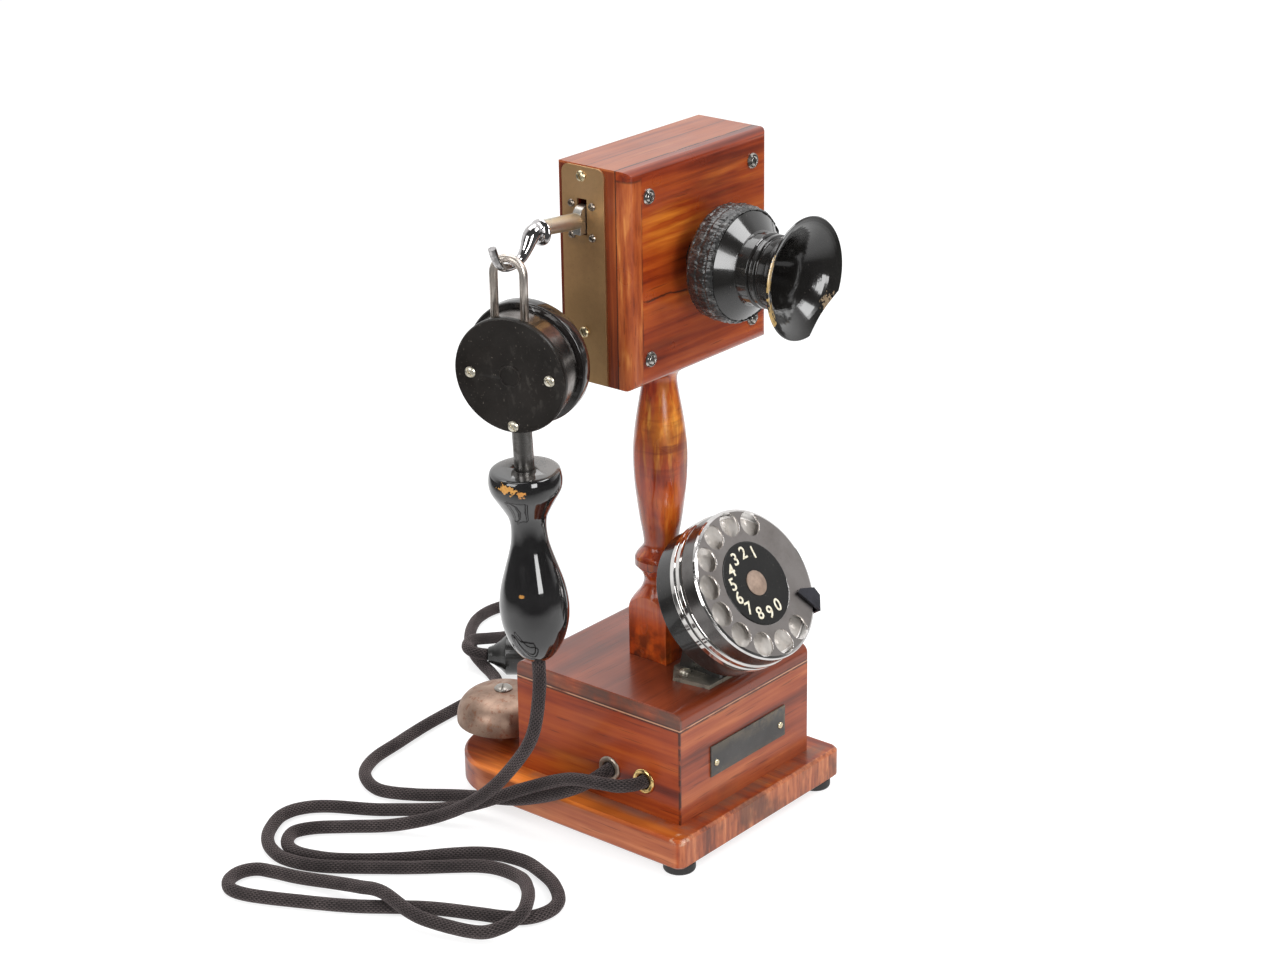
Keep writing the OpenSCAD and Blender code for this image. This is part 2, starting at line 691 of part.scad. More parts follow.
module terminal_screws() {
    color("gold") terminal_places() {
        rotate([-90, 0, 0]) slotted_head(2.6, 2, 0.7);
        translate([0, 0, -5]) cylinder(r = 1.5, h = 5);
    }
}

// Radii of the turned column, by the share of its height above the square foot
column_line = [[16.3, -3], [15.6, 0], [13.4, 2.6], [11, 5.4], [9.3, 8.6], [8.5, 11.8], [9, 14.6],
    [10.6, 17.4], [12.4, 19.6], [12.95, 22.2], [12.3, 24.8], [10.4, 27.2], [8.7, 29.6], [8.5, 32.4],
    [9.1, 37], [10.2, 43.4], [11.4, 52.4], [12.45, 61.4], [12.95, 70.4], [12.95, 80],
    [12.1, 89.4], [10.8, 98.4], [9.3, 107], [8.5, 113], [8.8, 116.6], [10.4, 119.4], [12.6, 120.6],
    [12.75, 121.6], [12.75, 125], [12.1, 126.4]];

module column() {
    rise = (column_h - foot_sq_h) / 126.4;
    line = [for (p = smooth(column_line, 3)) [p[0] * turning, foot_sq_h + p[1] * rise]];
    color("chocolate") difference() {
        translate([0, 0, lid_top]) union() {
            translate([-foot_sq / 2, -foot_sq / 2, 0]) cube([foot_sq, foot_sq, foot_sq_h - 3]);
            intersection() {
                turned(concat([[0, foot_sq_h - 3]], [for (p = line) [p[0], max(p[1], foot_sq_h - 3)]],
                    [[0, column_h]]));
                translate([-foot_sq / 2, -foot_sq / 2, foot_sq_h - 3])
                    cube([foot_sq, foot_sq, column_h]);
            }
            for (z = [20, 122.6]) translate([0, 0, foot_sq_h + z * rise])
                turned([[0, 0], [12.95 * turning, 0], [12.95 * turning, 3.4], [0, 3.4]]);
        }
        translate([0, 0, lid_top - past]) cylinder(r = tie_r + fit, h = column_h + 2 * past);
    }
}

module tie_rod() {
    nut_h = 5;
    washer_t = 1.2;
    top = head_bottom + head_wall;
    color("goldenrod") {
        difference() {
            translate([0, 0, box_top - nut_h - 3])
                cylinder(r = tie_r, h = top - box_top + 2 * (nut_h + 3));
            translate([0, 0, box_top - 20]) cylinder(r = tie_r - 1.4, h = column_h + 80);
        }
        for (z = [box_top - washer_t, top]) translate([0, 0, z]) washer(washer_t);
        for (z = [box_top - washer_t - nut_h, top + washer_t]) translate([0, 0, z]) nut(nut_h, tie_r, 7);
    }
}

module washer(t) {
    difference() {
        cylinder(r = 8, h = t);
        translate([0, 0, -past]) cylinder(r = tie_r + fit, h = t + 2 * past);
    }
}

// A hexagonal nut of height h on a bolt of radius r
module nut(h, r, across) {
    difference() {
        cylinder(r = across, h = h, $fn = 6);
        translate([0, 0, -past]) cylinder(r = r + fit, h = h + 2 * past);
    }
}

module head_case() {
    half = head_w / 2;
    color("sienna") difference() {
        union() {
            difference() {
                block([-half, -head_front, head_bottom], [half, head_back, head_top]);
                block([-half + head_wall, -head_front - past, head_bottom + head_wall],
                    [half - head_wall, head_back - back_wall, head_top - head_wall]);
            }
            for (side = [-1, 1], z = [head_bottom + head_wall, head_top - head_wall - screw_block])
                translate([side * (half - head_wall - screw_block / 2) - screw_block / 2, -head_front, z])
                    cube([screw_block, screw_block_d, screw_block]);
        }
        panel_screw_places() front_rod(-panel_screw_l, past, panel_screw_r + fit);
        translate([0, 0, head_bottom - past]) cylinder(r = tie_r + fit, h = head_wall + 2 * past);
        block([-half - past, hook_y - slot_w / 2 - 1, slot_bottom - 1],
            [-half + head_wall + past, hook_y + slot_w / 2 + 1, slot_top + 1]);
        plate_screw_places() side_rod(-half - past, -half + 5 + fit, plate_screw_r + fit);
    }
}

module panel_screw_places() {
    for (x = [-panel_screw_half, panel_screw_half],
        z = [head_bottom + panel_screw_z, head_top - panel_screw_z])
        translate([x, -head_front, z]) children();
}

module front_panel() {
    half = head_w / 2;
    steps = [0, 15, 30, 45, 60, 75, 90];
    color("peru") difference() {
        hull() for (a = steps) {
            inset = panel_r * (1 - cos(a));
            block([-half + inset, -panel_face + panel_r * (1 - sin(a)), head_bottom + inset],
                [half - inset, -head_front, head_top - inset]);
        }
        translate([0, 0, mouth_up]) front_rod(head_front - past, panel_face + past, stem_r + fit);
        panel_screw_places() front_rod(-past, panel_t + past, panel_screw_r + fit);
    }
}

module panel_screws() {
    color("silver") panel_screw_places() {
        front_rod(-panel_screw_l + 1, panel_t, panel_screw_r);
        translate([0, -panel_t, 0]) slotted_head(panel_cup_r - 1.1, 2.2, 0.8, 70);
        translate([0, -panel_t, 0]) turned_front([[panel_cup_r - 1, 0], [panel_cup_r, 0],
            [panel_cup_r, 0.5], [panel_cup_r - 0.5, 1.3], [panel_cup_r - 1, 1.3]]);
    }
}

// Screws of the brass plate: radius, length, and places as distances from the lever
plate_screw_r = 1.1;
plate_screw_l = 5;
big_screw_up = 19.9;
big_screw_down = -53.2;
guide_y = 6;
guide_up = 6.6;
guide_down = -7.9;

module plate_screw_places() {
    for (z = [big_screw_up, big_screw_down]) translate([0, hook_y, lever_up + z]) children();
    guide_screw_places() children();
}

module guide_screw_places() {
    for (y = [-guide_y, guide_y], z = [guide_up, guide_down])
        translate([0, hook_y + y, lever_up + z]) children();
}

module switch_plate() {
    half = head_w / 2;
    corner = 4;
    color("darkgoldenrod") difference() {
        translate([-brass_x, brass_y, head_bottom + 0.5])
            rotate([90, 0, 90]) linear_extrude(brass_t) union() {
            square([brass_w, head_h - 1 - corner]);
            translate([corner, 0]) square([brass_w - 2 * corner, head_h - 1]);
            for (x = [corner, brass_w - corner]) translate([x, head_h - 1 - corner]) circle(r = corner);
        }
        block([-brass_x - past, hook_y - slot_w / 2, slot_bottom],
            [-half + past, hook_y + slot_w / 2, slot_top]);
        plate_screw_places() side_rod(-brass_x - past, -half + past, plate_screw_r + fit);
    }
}

module plate_screws() {
    half = head_w / 2;
    color("khaki") {
        plate_screw_places() side_rod(-brass_x, -half + plate_screw_l, plate_screw_r);
        for (z = [big_screw_up, big_screw_down]) translate([-brass_x, hook_y, lever_up + z])
            rotate([0, 0, -90]) slotted_head(2.6, 1.5, 0.7, 60);
        guide_screw_places() translate([-brass_x, 0, 0]) rotate([0, 0, -90]) slotted_head(1.9, 1.2, 0.5, 20);
    }
}

module hook_lever() {
    top = lever_up + lever_h / 2;
    bottom = lever_up - lever_h / 2;
    nose = 5;
    color("lightslategray") translate([0, hook_y + lever_t / 2, 0]) rotate([90, 0, 0]) linear_extrude(lever_t)
        difference() {
            union() {
                translate([-pivot_x, pivot_up]) circle(r = pivot_r + 4);
                polygon([[-lever_x + nose, top], [-lever_x, top - nose], [-lever_x, bottom],
                    [-pivot_x - 8, bottom + 1], [-pivot_x, pivot_up - pivot_r - 4],
                    [-pivot_x + 10, pivot_up - 3], [-pivot_x + 10, pivot_up + 3],
                    [-pivot_x, pivot_up + pivot_r + 4], [-brass_x + 8, top - 3]]);
                translate([-lever_x + nose, top - nose]) circle(r = nose);
            }
            translate([-pivot_x, pivot_up]) circle(r = pivot_r + running);
        }
}

module lever_sleeve() {
    color("tan") difference() {
        translate([-lever_x, hook_y, lever_up]) rotate([0, -90 + sleeve_rise, 0]) translate([0, 0, -past])
            cylinder(r1 = sleeve_r, r2 = sleeve_tip_r, h = sleeve_l + past);
        translate([-lever_x, hook_y - 2 * sleeve_r, lever_up - 2 * sleeve_r]) cube(4 * sleeve_r);
    }
}

module hook() {
    path = smooth([for (p = hook_wire) [p[0], hook_y, p[1]]], 2);
    radii = smooth([for (p = hook_wire) p[2]], 2);
    color("silver") union() {
        translate(sleeve_end) rotate([0, -90 + sleeve_rise, 0]) translate([-collar_drop, 0, 0])
            turned([[0, 0], [collar_r - 1, 0], [collar_r, 0.9], [collar_r, 1.6], [collar_r - 1, 2.5],
                [collar_r - 1.9, 3.1], [0, 3.4]]);
        tube(path, radii, 12);
    }
}

module lever_bracket() {
    low = pivot_up - pivot_r - 9;
    ear = 1.5;
    front = hook_y - lever_t / 2 - gap;
    back = hook_y + lever_t / 2 + gap;
    wall = head_back - back_wall;
    left = -pivot_x - 7;
    right = -pivot_x + 7;
    color("gray") difference() {
        union() {
            block([left, front - ear, low], [right, wall, low + ear]);
            block([left, front - ear, low], [right, front, pivot_up + 5]);
            block([left, back, low], [right, back + ear, pivot_up + 5]);
            block([left, wall - ear, low - 6], [right, wall, low + ear]);
        }
        translate([-pivot_x, 0, pivot_up]) front_rod(-back - 5, 5 - front, pivot_r + fit);
    }
    color("silver") translate([-pivot_x, 0, pivot_up])
        front_rod(-back - ear - 0.6, ear - front + 0.6, pivot_r);
}

module contact_springs() {
    wall = head_back - back_wall;
    low = pivot_up + 3 + gap + 0.4;
    leaf_t = 0.5;
    leaf_step = 2.4;
    color("goldenrod") {
        for (level = [0 : 2]) {
            block([-pivot_x + 9 + level, hook_y - 2, low + level * leaf_step],
                [24, hook_y + 2, low + level * leaf_step + leaf_t]);
        }
        block([10, hook_y - 3.5, low - 4], [22, wall, low]);
        for (level = [0 : 1]) block([10, hook_y - 3.5, low + level * leaf_step + leaf_t],
            [22, wall, low + (level + 1) * leaf_step]);
        block([10, hook_y - 3.5, low + 2 * leaf_step + leaf_t], [22, wall, low + 7]);
        block([10, hook_y + 2, low - 4], [22, wall, low + 7]);
    }
}

module transmitter_stem() {
    flange_r = 11.4;
    nut_h = 4.5;
    color("dimgray") translate([0, 0, mouth_up]) {
        turned_front([[stem_r - 2, head_front - nut_h - 3], [stem_r, head_front - nut_h - 3],
            [stem_r, panel_face], [flange_r, panel_face], [flange_r, panel_face + 1.6],
            [flange_r - 2.5, panel_face + 3], [stem_r + 1.5, panel_face + 4.4],
            [stem_r + 1.5, cup_back], [stem_r - 2, cup_back]]);
        translate([0, -head_front + nut_h, 0]) rotate([90, 0, 0]) nut(nut_h, stem_r, 10);
    }
}

// Outline of the transmitter cup's outside, as radius and distance, moved out by grow
function cup_line(grow) = [[cup_r - 1.8 + grow, 0], [cup_r - 0.7 + grow, 1.4], [cup_r + grow, cup_l - 8.2],
    [cup_r + grow, cup_l - 3], [cup_r - 0.5 + grow, cup_l - 1], [cup_r - 1 + grow, cup_l]];

module transmitter_cup() {
    line = cup_line(0);
    color("black") translate([0, -cup_back, mouth_up]) difference() {
        turned_front(concat([[0, 0]], line, [[0, cup_l]]));
        turned_front([[0, cup_wall + 0.4], [cup_r - cup_wall - 1, cup_wall + 0.4],
            [cup_r - cup_wall - 1, cup_l - 3], [cup_r - cup_wall - 2.4, cup_l + past], [0, cup_l + past]]);
    }
}

module binding_tape() {
    inner = cup_line(0);
    outer = cup_line(tape_t);
    color("dimgray") translate([0, -cup_back, mouth_up])
        turned_front(concat([for (i = [1 : len(inner) - 1]) inner[i]],
            [for (i = [len(outer) - 1 : -1 : 1]) outer[i]]));
}

module carbon_capsule() {
    color("silver") translate([0, -cup_back - cup_wall - 0.4, mouth_up]) turned_front([[0, 0],
        [18, 0], [20, 2], [20, cup_l - 7.4], [0, cup_l - 7.4]]);
}

module transmitter_diaphragm() {
    color("gainsboro") translate([0, -cup_back - cup_l + 5.4, mouth_up])
        front_rod(0, 0.5, cup_r - cup_wall - 1.2);
    color("gainsboro") translate([0, -cup_back - cup_l + 5.4, mouth_up]) turned_front([
        [cup_r - cup_wall - 4.4, 0.5], [cup_r - cup_wall - 1.2, 0.5], [cup_r - cup_wall - 1.2, 2.4],
        [cup_r - cup_wall - 4.4, 2.4]]);
}

// Outside of the mouthpiece, as radius and distance from the front of the cup
function horn_line() = let(e = horn_l - 33.2) concat(
    [[cup_r - 1.1, 0], [cup_r - 1.1, 0.3], [17.9, 6], [17.4, 6.4], [17.4, 12.6], [16.9, 13.2], [16.2, 13.5],
        [16.2, 14.3], [16.9, 14.6], [17.1, 15], [17.1, 16.4], [16.8, 16.8], [16.2, 17.1]],
    smooth([[16.3, 17.6], [17.2, 20.2 + e / 2], [18.8, 23.6 + e], [21.6, 27.4 + e], [25, 30.6 + e],
        [horn_r, horn_l - 0.5]], 3));
// Flat on the mouthpiece's rim where its edge has broken off: distance from the axis and direction
rim_flat = 24.4;
rim_flat_turn = 54;

module horn() {
    e = horn_l - 33.2;
    bell = smooth([[horn_r - 0.6, horn_l], [24.6 + (horn_r - 28.4) / 2, 32.6 + e - horn_wall / 3],
        [20.8, 30.1 + e - horn_wall / 3], [17.2, 26.4 + e - horn_wall / 3], [14.6, 22 + e], [12.4, 17.5],
        [10.4, 12], [9, 8], [8.4, 5]], 3);
    inside = [[cup_r - 5.6, 0], [20, 1.2], [12, 2.2], [4, 2.4], [4, 5]];
    color("black") translate([0, -cup_front, mouth_up]) difference() {
        turned_front(concat(horn_line(), bell, [for (i = [len(inside) - 1 : -1 : 0]) inside[i]]));
        rotate([0, rim_flat_turn, 0]) translate([rim_flat, -horn_l - past, -horn_r])
            cube([horn_r, horn_l + past, 2 * horn_r]);
    }
}

module receiver_cover() {
    x = cover_x;
    color("black") difference() {
        receiver_turned([[0, x + 0.4], [boss_r - 0.6, x + 0.4], [boss_r - 0.6, x], [boss_r, x],
            [boss_r, x + 0.4], [cover_r - 0.65, x + 0.4], [cover_r - 0.5, x + 0.2], [cover_r - 0.3, x + 0.5],
            [cover_r, x + 1.2], [cover_r, x + cover_t], [0, x + cover_t]]);
        on_receiver() cover_screw_places() side_rod(-past, cover_t + past, cover_screw_r + fit);
    }
}

module cover_screw_places() {
    for (y = [-cover_screw_y, cover_screw_y]) translate([cover_x, y, 0]) children();
    translate([cover_x, 0, -cover_screw_z]) children();
}

module receiver_screws() {
    color("khaki") on_receiver() cover_screw_places() {
        side_rod(0.4, cover_t - 0.05, cover_screw_r);
        translate([0.4, 0, 0]) rotate([0, 0, -90]) slotted_head(cover_screw_head, 1.2, 0.7, 50);
    }
}

module bail() {
    arch = bail_top - bail_half;
    color("tan") difference() {
        translate(bail_at) rotate([0, 0, receiver_turn]) union() {
            translate([0, 0, arch]) rotate([90, 0, 90]) rotate_extrude(angle = 180)
                translate([bail_half, 0]) circle(r = bail_r);
            for (y = [-bail_half, bail_half]) translate([0, y, bail_low])
                cylinder(r = bail_r, h = arch - bail_low);
        }
        on_receiver() side_rod(case_x - past, ear_x + past, case_r);
    }
}

module receiver_case() {
    inner = case_r - case_wall;
    color("dimgray") difference() {
        receiver_turned([[flange_in_r, case_x], [case_r, case_x], [case_r, ear_x], [inner, ear_x],
            [inner, case_x + flange_t], [flange_in_r, case_x + flange_t]]);
        on_receiver() translate([0, 0, -case_r - 2]) cylinder(r = neck_r + fit, h = 6);
    }
}

module ear_cap() {
    color("black") receiver_turned([[case_r - 1, ear_x], [case_r - 1, ear_x + 1.8], [ear_r - 0.6, ear_x + 2],
        [ear_r, ear_x + 2.8], [ear_r, ear_x + ear_t - 2.6], [ear_r - 0.8, ear_x + ear_t - 0.8],
        [ear_r - 2.6, ear_x + ear_t], [ear_r - 4.4, ear_x + ear_t - 0.3], [20, ear_x + ear_t - 2],
        [12, ear_x + ear_t - 3.3], [ear_hole_r + 1, ear_x + ear_t - 3.6], [ear_hole_r, ear_x + ear_t - 4],
        [ear_hole_r, ear_x + 5.4], [case_r - case_wall - 0.2, ear_x + 5.4],
        [case_r - case_wall - 0.2, ear_x]]);
}

module receiver_magnet() {
    x = case_x + flange_t;
    color("firebrick") {
        receiver_turned([[0, x], [19, x], [19, x + 4], [0, x + 4]]);
        on_receiver() for (z = [-7.5, 7.5]) translate([0, 0, z]) side_rod(x + 4, ear_x + 4.4, 5);
    }
}

module receiver_diaphragm() {
    color("gainsboro") receiver_turned([[0, ear_x + 5], [case_r - case_wall - 0.3, ear_x + 5],
        [case_r - case_wall - 0.3, ear_x + 5.4], [0, ear_x + 5.4]]);
}

module neck_tube() {
    color("dimgray") on_receiver() translate([0, 0, handle_top - tube_in]) difference() {
        cylinder(r = neck_r, h = tube_in - handle_top - case_r + case_wall + 0.3);
        translate([0, 0, -past]) cylinder(r = neck_r - 1.4, h = tube_in - handle_top);
    }
}

// Turned handle, as radius and distance below its top
handle_line = [[12.6, 0], [15.5, 0.2], [16.5, 2.2], [16.95, 5.6], [16.4, 9.4], [14.2, 13.6], [11.4, 18.4],
    [9.1, 23], [8.2, 28.2], [8.7, 35.6], [10.2, 42], [12, 48], [14.7, 57.4], [15.9, 64.4],
    [handle_r, 69.6], [15.5, 76.6], [13.3, 84.4], [10.2, 90.4], [7.6, 93.6], [5.4, 95.2], [4.4, 95.4]];

module handle() {
    stretch = handle_l / 95.4;
    line = [for (p = smooth(handle_line, 3)) [p[0], handle_top - p[1] * stretch]];
    color("black") on_receiver() difference() {
        turned(concat([[0, handle_top]], line, [[0, handle_end]]));
        translate([0, 0, handle_top - tube_in - 1]) cylinder(r = neck_r + fit, h = tube_in + 1 + past);
        translate([0, 0, handle_end - past]) cylinder(r = cord_r - 1.2, h = handle_l);
    }
}

// Dial bracket: its screws, and the outline of its foot
bracket_screw_r = 1.4;
bracket_screw_l = 8;
bracket_screw_y = -26;
bracket_screw_x = 14.8;
gusset_x = 8.6;

module bracket_screw_places() {
    for (x = [-bracket_screw_x, bracket_screw_x]) translate([x, bracket_screw_y, lid_top]) children();
    translate([0, bracket_screw_y - 14, lid_top]) children();
}

module dial_bracket() {
    pad_low = -17;
    pad_high = 9;
    pad = dial_case_back + bracket_t;
    // A point behind the dial, as distances behind the wheel's face and up along it
    function behind(d, w) = [dial_at[1] + d * cos(dial_tilt) + w * sin(dial_tilt),
        dial_at[2] - d * sin(dial_tilt) + w * cos(dial_tilt)];
    foot_top = lid_top + bracket_t;
    color("darkslategray") difference() {
        union() {
            translate([0, 0, lid_top]) linear_extrude(bracket_t) polygon([[-22.7, -24.7], [-19.9, -44.7],
                [19.9, -44.7], [22.7, -24.7], [12.4, -17.2], [-12.4, -17.2]]);
            on_dial() translate([-14, pad_low, -pad]) cube([28, pad_high - pad_low, bracket_t]);
            for (x = [-gusset_x - bracket_t, gusset_x]) translate([x, 0, 0]) rotate([90, 0, 90])
                linear_extrude(bracket_t) polygon([[-44, foot_top - 0.5], [-19, foot_top - 0.5],
                    behind(pad - 0.5, pad_high - 2), behind(pad - 0.5, pad_low + 1)]);
        }
        bracket_screw_places() cylinder(r = bracket_screw_r + fit, h = 12, center = true);
    }
}

module bracket_screws() {
    color("silver") bracket_screw_places() {
        translate([0, 0, bracket_t]) rotate([-90, 0, 0]) slotted_head(2.7, 1.6, 0.7, 30);
        translate([0, 0, 1 - bracket_screw_l])
            cylinder(r = bracket_screw_r, h = bracket_screw_l - 1 + bracket_t);
    }
}

module dial_case() {
    wall = 2;
    color("black") on_dial() difference() {
        translate([0, 0, -dial_case_back]) turned([[0, 0], [dial_case_r - 1, 0], [dial_case_r, 1],
            [dial_case_r, dial_case_d], [dial_case_r - wall, dial_case_d], [dial_case_r - wall, wall],
            [8, wall], [8, dial_case_d - 2], [0, dial_case_d - 2]]);
        translate([0, 0, -dial_case_back - past]) cylinder(r = shaft_r + running, h = dial_case_d + past);
    }
}

module dial_ring() {
    front = -skirt_h - dial_gap;
    dish_flat_r = 8;
    dish_mid_r = 24;
    color("silver") on_dial() difference() {
        turned([[0, front + dish_h - 1.4], [dish_flat_r, front + dish_h - 1.4],
            [dish_mid_r, front + dish_h - 0.9],
            [dish_r - 1.4, front + dish_h], [dish_r, front + dish_h - 1], [dish_r, front],
            [ring_r - 0.8, front], [ring_r, front - 0.8], [ring_r, front - 3.2], [ring_r - 0.7, front - 4],
            [ring_r, front - 4.8], [ring_r, -ring_back + 0.8], [ring_r - 0.8, -ring_back],
            [dial_case_r - 3, -ring_back], [dial_case_r - 3, front - 1.6], [0, front - 1.6]]);
        translate([0, 0, -ring_back]) cylinder(r = shaft_r + running, h = ring_back);
    }
}

module finger_wheel() {
    color("silver") on_dial() difference() {
        turned([[0, -number_sunk], [number_r + fit, -number_sunk], [number_r + fit, 0], [wheel_r - 1.6, 0],
            [wheel_r - 0.5, -0.5], [wheel_r, -1.6], [wheel_r, -skirt_h], [wheel_r - wheel_t, -skirt_h],
            [wheel_r - wheel_t, -wheel_t - 0.6], [wheel_r - wheel_t - 0.6, -wheel_t],
            [hub_r, -wheel_t], [hub_r, -wheel_t - hub_h], [0, -wheel_t - hub_h]]);
        for (i = [0 : holes - 1]) rotate(first_hole + i * hole_step)
            translate([hole_circle_r, 0, -wheel_t - past]) cylinder(r = hole_r, h = wheel_t + 2 * past);
        translate([0, 0, -wheel_t - hub_h - past]) cylinder(r = shaft_r + fit, h = hub_h + past);
    }
}

module number_plate() {
    color("black") on_dial() translate([0, 0, -number_sunk]) turned([[0, 0], [number_r, 0],
        [number_r, number_t - 0.3], [number_r - 0.4, number_t], [0, number_t]]);
}

module centre_cap() {
    color("rosybrown") on_dial() translate([0, 0, number_t - number_sunk]) turned([[0, 0], [cap_r, 0],
        [cap_r, 0.4], [cap_r - 0.6, 0.8], [0, 1]]);
}

module finger_stop() {
    low = stop_gap;
    reach = ring_r + stop_t;
    color("dimgray") on_dial() {
        translate([0, 0, low]) linear_extrude(stop_t) polygon([[hole_circle_r - 8.8, -12.9],
            [hole_circle_r - 5.9, -12], [hole_circle_r + 2.9, -14.5],
            [reach * cos(stop_angle + 6), reach * sin(stop_angle + 6)],
            [reach * cos(stop_angle - 6), reach * sin(stop_angle - 6)]]);
        intersection() {
            translate([0, 0, -ring_back + 2]) difference() {
                cylinder(r = reach, h = ring_back - 2 + low + 0.1);
                translate([0, 0, -past]) cylinder(r = ring_r, h = ring_back + 3 * past);
            }
            rotate(stop_angle) translate([ring_r - 3, -4, -ring_back]) cube([8, 8, ring_back + 3]);
        }
    }
}

module dial_shaft() {
    color("silver") on_dial() translate([0, 0, -dial_case_back + 0.6])
        cylinder(r = shaft_r, h = dial_case_back - 0.6 - wheel_t);
}

module cord(route, rings) {
    path = [for (k = [0 : rings]) curve_at(route, k * (len(route) - 1) / rings)];
    color("darkslategray") tube(path, [for (p = path) cord_r], cord_sides);
}

module receiver_cord() { cord(receiver_route, receiver_rings); }
module line_cord() { cord(line_route, line_rings); }

module on_plug() { translate(plug_at) rotate([0, 0, plug_turn]) rotate([0, 90, 0]) children(); }

module line_plug() {
    body = plug_neck + plug_l;
    color("black") on_plug() difference() {
        turned([[0, 0], [plug_neck_r, 0], [plug_neck_r + 1.2, plug_neck - 5], [plug_r - 3, plug_neck - 1],
            [plug_r, plug_neck + 2], [plug_r, body - 1], [plug_r - 1, body], [0, body]]);
        pin_places() translate([0, 0, body - 8]) cylinder(r = 2 + fit, h = 8 + past);
    }
}

module pin_places() { for (a = [45 : 90 : 315]) rotate(a) translate([5.6, 0, 0]) children(); }

module plug_pins() {
    body = plug_neck + plug_l;
    color("gold") on_plug() pin_places() translate([0, 0, body - 8]) turned([[0, 0], [2, 0],
        [2, 19], [1.2, 20], [0, 20]]);
}

translate(-middle) base_plate();
translate(-middle) rubber_feet();
translate(-middle) base_box();
translate(-middle) base_screws();
translate(-middle) base_lid();
translate(-middle) nameplate();
translate(-middle) nameplate_screws();
translate(-middle) front_grommet();
translate(-middle) rear_grommet();
translate(-middle) left_gong();
translate(-middle) right_gong();
translate(-middle) gong_posts();
translate(-middle) gong_screws();
translate(-middle) ringer_frame();
translate(-middle) ringer_coils();
translate(-middle) clapper();
translate(-middle) induction_coil();
translate(-middle) condenser();
translate(-middle) terminal_block();
translate(-middle) terminal_screws();
translate(-middle) column();
translate(-middle) tie_rod();
translate(-middle) head_case();
translate(-middle) front_panel();
translate(-middle) panel_screws();
translate(-middle) switch_plate();
translate(-middle) plate_screws();
translate(-middle) hook_lever();
translate(-middle) lever_sleeve();
translate(-middle) hook();
translate(-middle) lever_bracket();
translate(-middle) contact_springs();
translate(-middle) transmitter_stem();
translate(-middle) transmitter_cup();
translate(-middle) binding_tape();
translate(-middle) carbon_capsule();
translate(-middle) transmitter_diaphragm();
translate(-middle) horn();
translate(-middle) receiver_cover();
translate(-middle) receiver_screws();
translate(-middle) bail();
translate(-middle) receiver_case();
translate(-middle) ear_cap();
translate(-middle) receiver_magnet();
translate(-middle) receiver_diaphragm();
translate(-middle) neck_tube();
translate(-middle) handle();
translate(-middle) dial_bracket();
translate(-middle) bracket_screws();
translate(-middle) dial_case();
translate(-middle) dial_ring();
translate(-middle) finger_wheel();
translate(-middle) number_plate();
translate(-middle) centre_cap();
translate(-middle) finger_stop();
translate(-middle) dial_shaft();
translate(-middle) receiver_cord();
translate(-middle) line_cord();
translate(-middle) line_plug();
translate(-middle) plug_pins();
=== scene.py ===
import json
import math

import bmesh
import bpy
from mathutils import Matrix, Vector, noise

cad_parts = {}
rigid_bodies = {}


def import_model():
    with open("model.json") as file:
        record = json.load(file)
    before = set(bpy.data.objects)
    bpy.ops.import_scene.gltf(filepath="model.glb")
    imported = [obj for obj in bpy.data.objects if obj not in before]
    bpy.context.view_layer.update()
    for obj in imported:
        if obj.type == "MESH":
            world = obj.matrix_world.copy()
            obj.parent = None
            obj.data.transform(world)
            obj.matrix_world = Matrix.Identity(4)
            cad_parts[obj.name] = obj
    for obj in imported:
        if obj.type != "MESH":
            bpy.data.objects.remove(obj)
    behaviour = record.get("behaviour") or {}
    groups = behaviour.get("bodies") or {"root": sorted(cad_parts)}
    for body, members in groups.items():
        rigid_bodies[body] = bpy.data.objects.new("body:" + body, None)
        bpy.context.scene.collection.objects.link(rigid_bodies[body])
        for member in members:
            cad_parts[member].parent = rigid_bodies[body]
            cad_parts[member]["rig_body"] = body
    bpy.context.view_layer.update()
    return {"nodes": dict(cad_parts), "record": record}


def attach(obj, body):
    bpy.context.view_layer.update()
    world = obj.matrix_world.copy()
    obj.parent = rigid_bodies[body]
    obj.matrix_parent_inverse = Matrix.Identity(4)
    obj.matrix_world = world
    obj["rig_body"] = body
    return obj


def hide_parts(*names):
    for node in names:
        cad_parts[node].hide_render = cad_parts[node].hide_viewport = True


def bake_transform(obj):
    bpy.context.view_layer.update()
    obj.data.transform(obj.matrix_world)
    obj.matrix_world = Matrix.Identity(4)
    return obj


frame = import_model()
NODES = frame["nodes"]
SLOT = {s["node"]: s["material_slot"] for s in frame["record"]["subparts"]}
SCENE = bpy.context.scene

# The source measures from the column's axis in millimetres. This is the middle of the
# object without its cords, which is the origin here.
MIDDLE = Vector((-24.45, 9.85, 0))


def at(x, y, z):
    """A place of the source, in metres from the origin here."""
    return (Vector((x, y, z)) - MIDDLE) / 1000


def link(name, data):
    """A new object that shows a mesh, a text, a camera or a lamp."""
    made = bpy.data.objects.new(name, data)
    SCENE.collection.objects.link(made)
    return made


def turned_to(*axes):
    """The rotation that lays X, Y and Z along the three axes."""
    return Matrix(axes).transposed().to_4x4()


# ---- Camera, at the photograph's angle

SENSOR_WIDTH = 36
PHOTO_WIDTH = 1280
FOCAL_LENGTH = 2870.152  # in pixels of the photo's width
VIEW_RIGHT = Vector((0.635845, -0.77169, -0.014018))
VIEW_UP = Vector((0.290625, 0.222561, 0.930593))
VIEW_BACK = Vector((-0.715009, -0.595787, 0.365787))

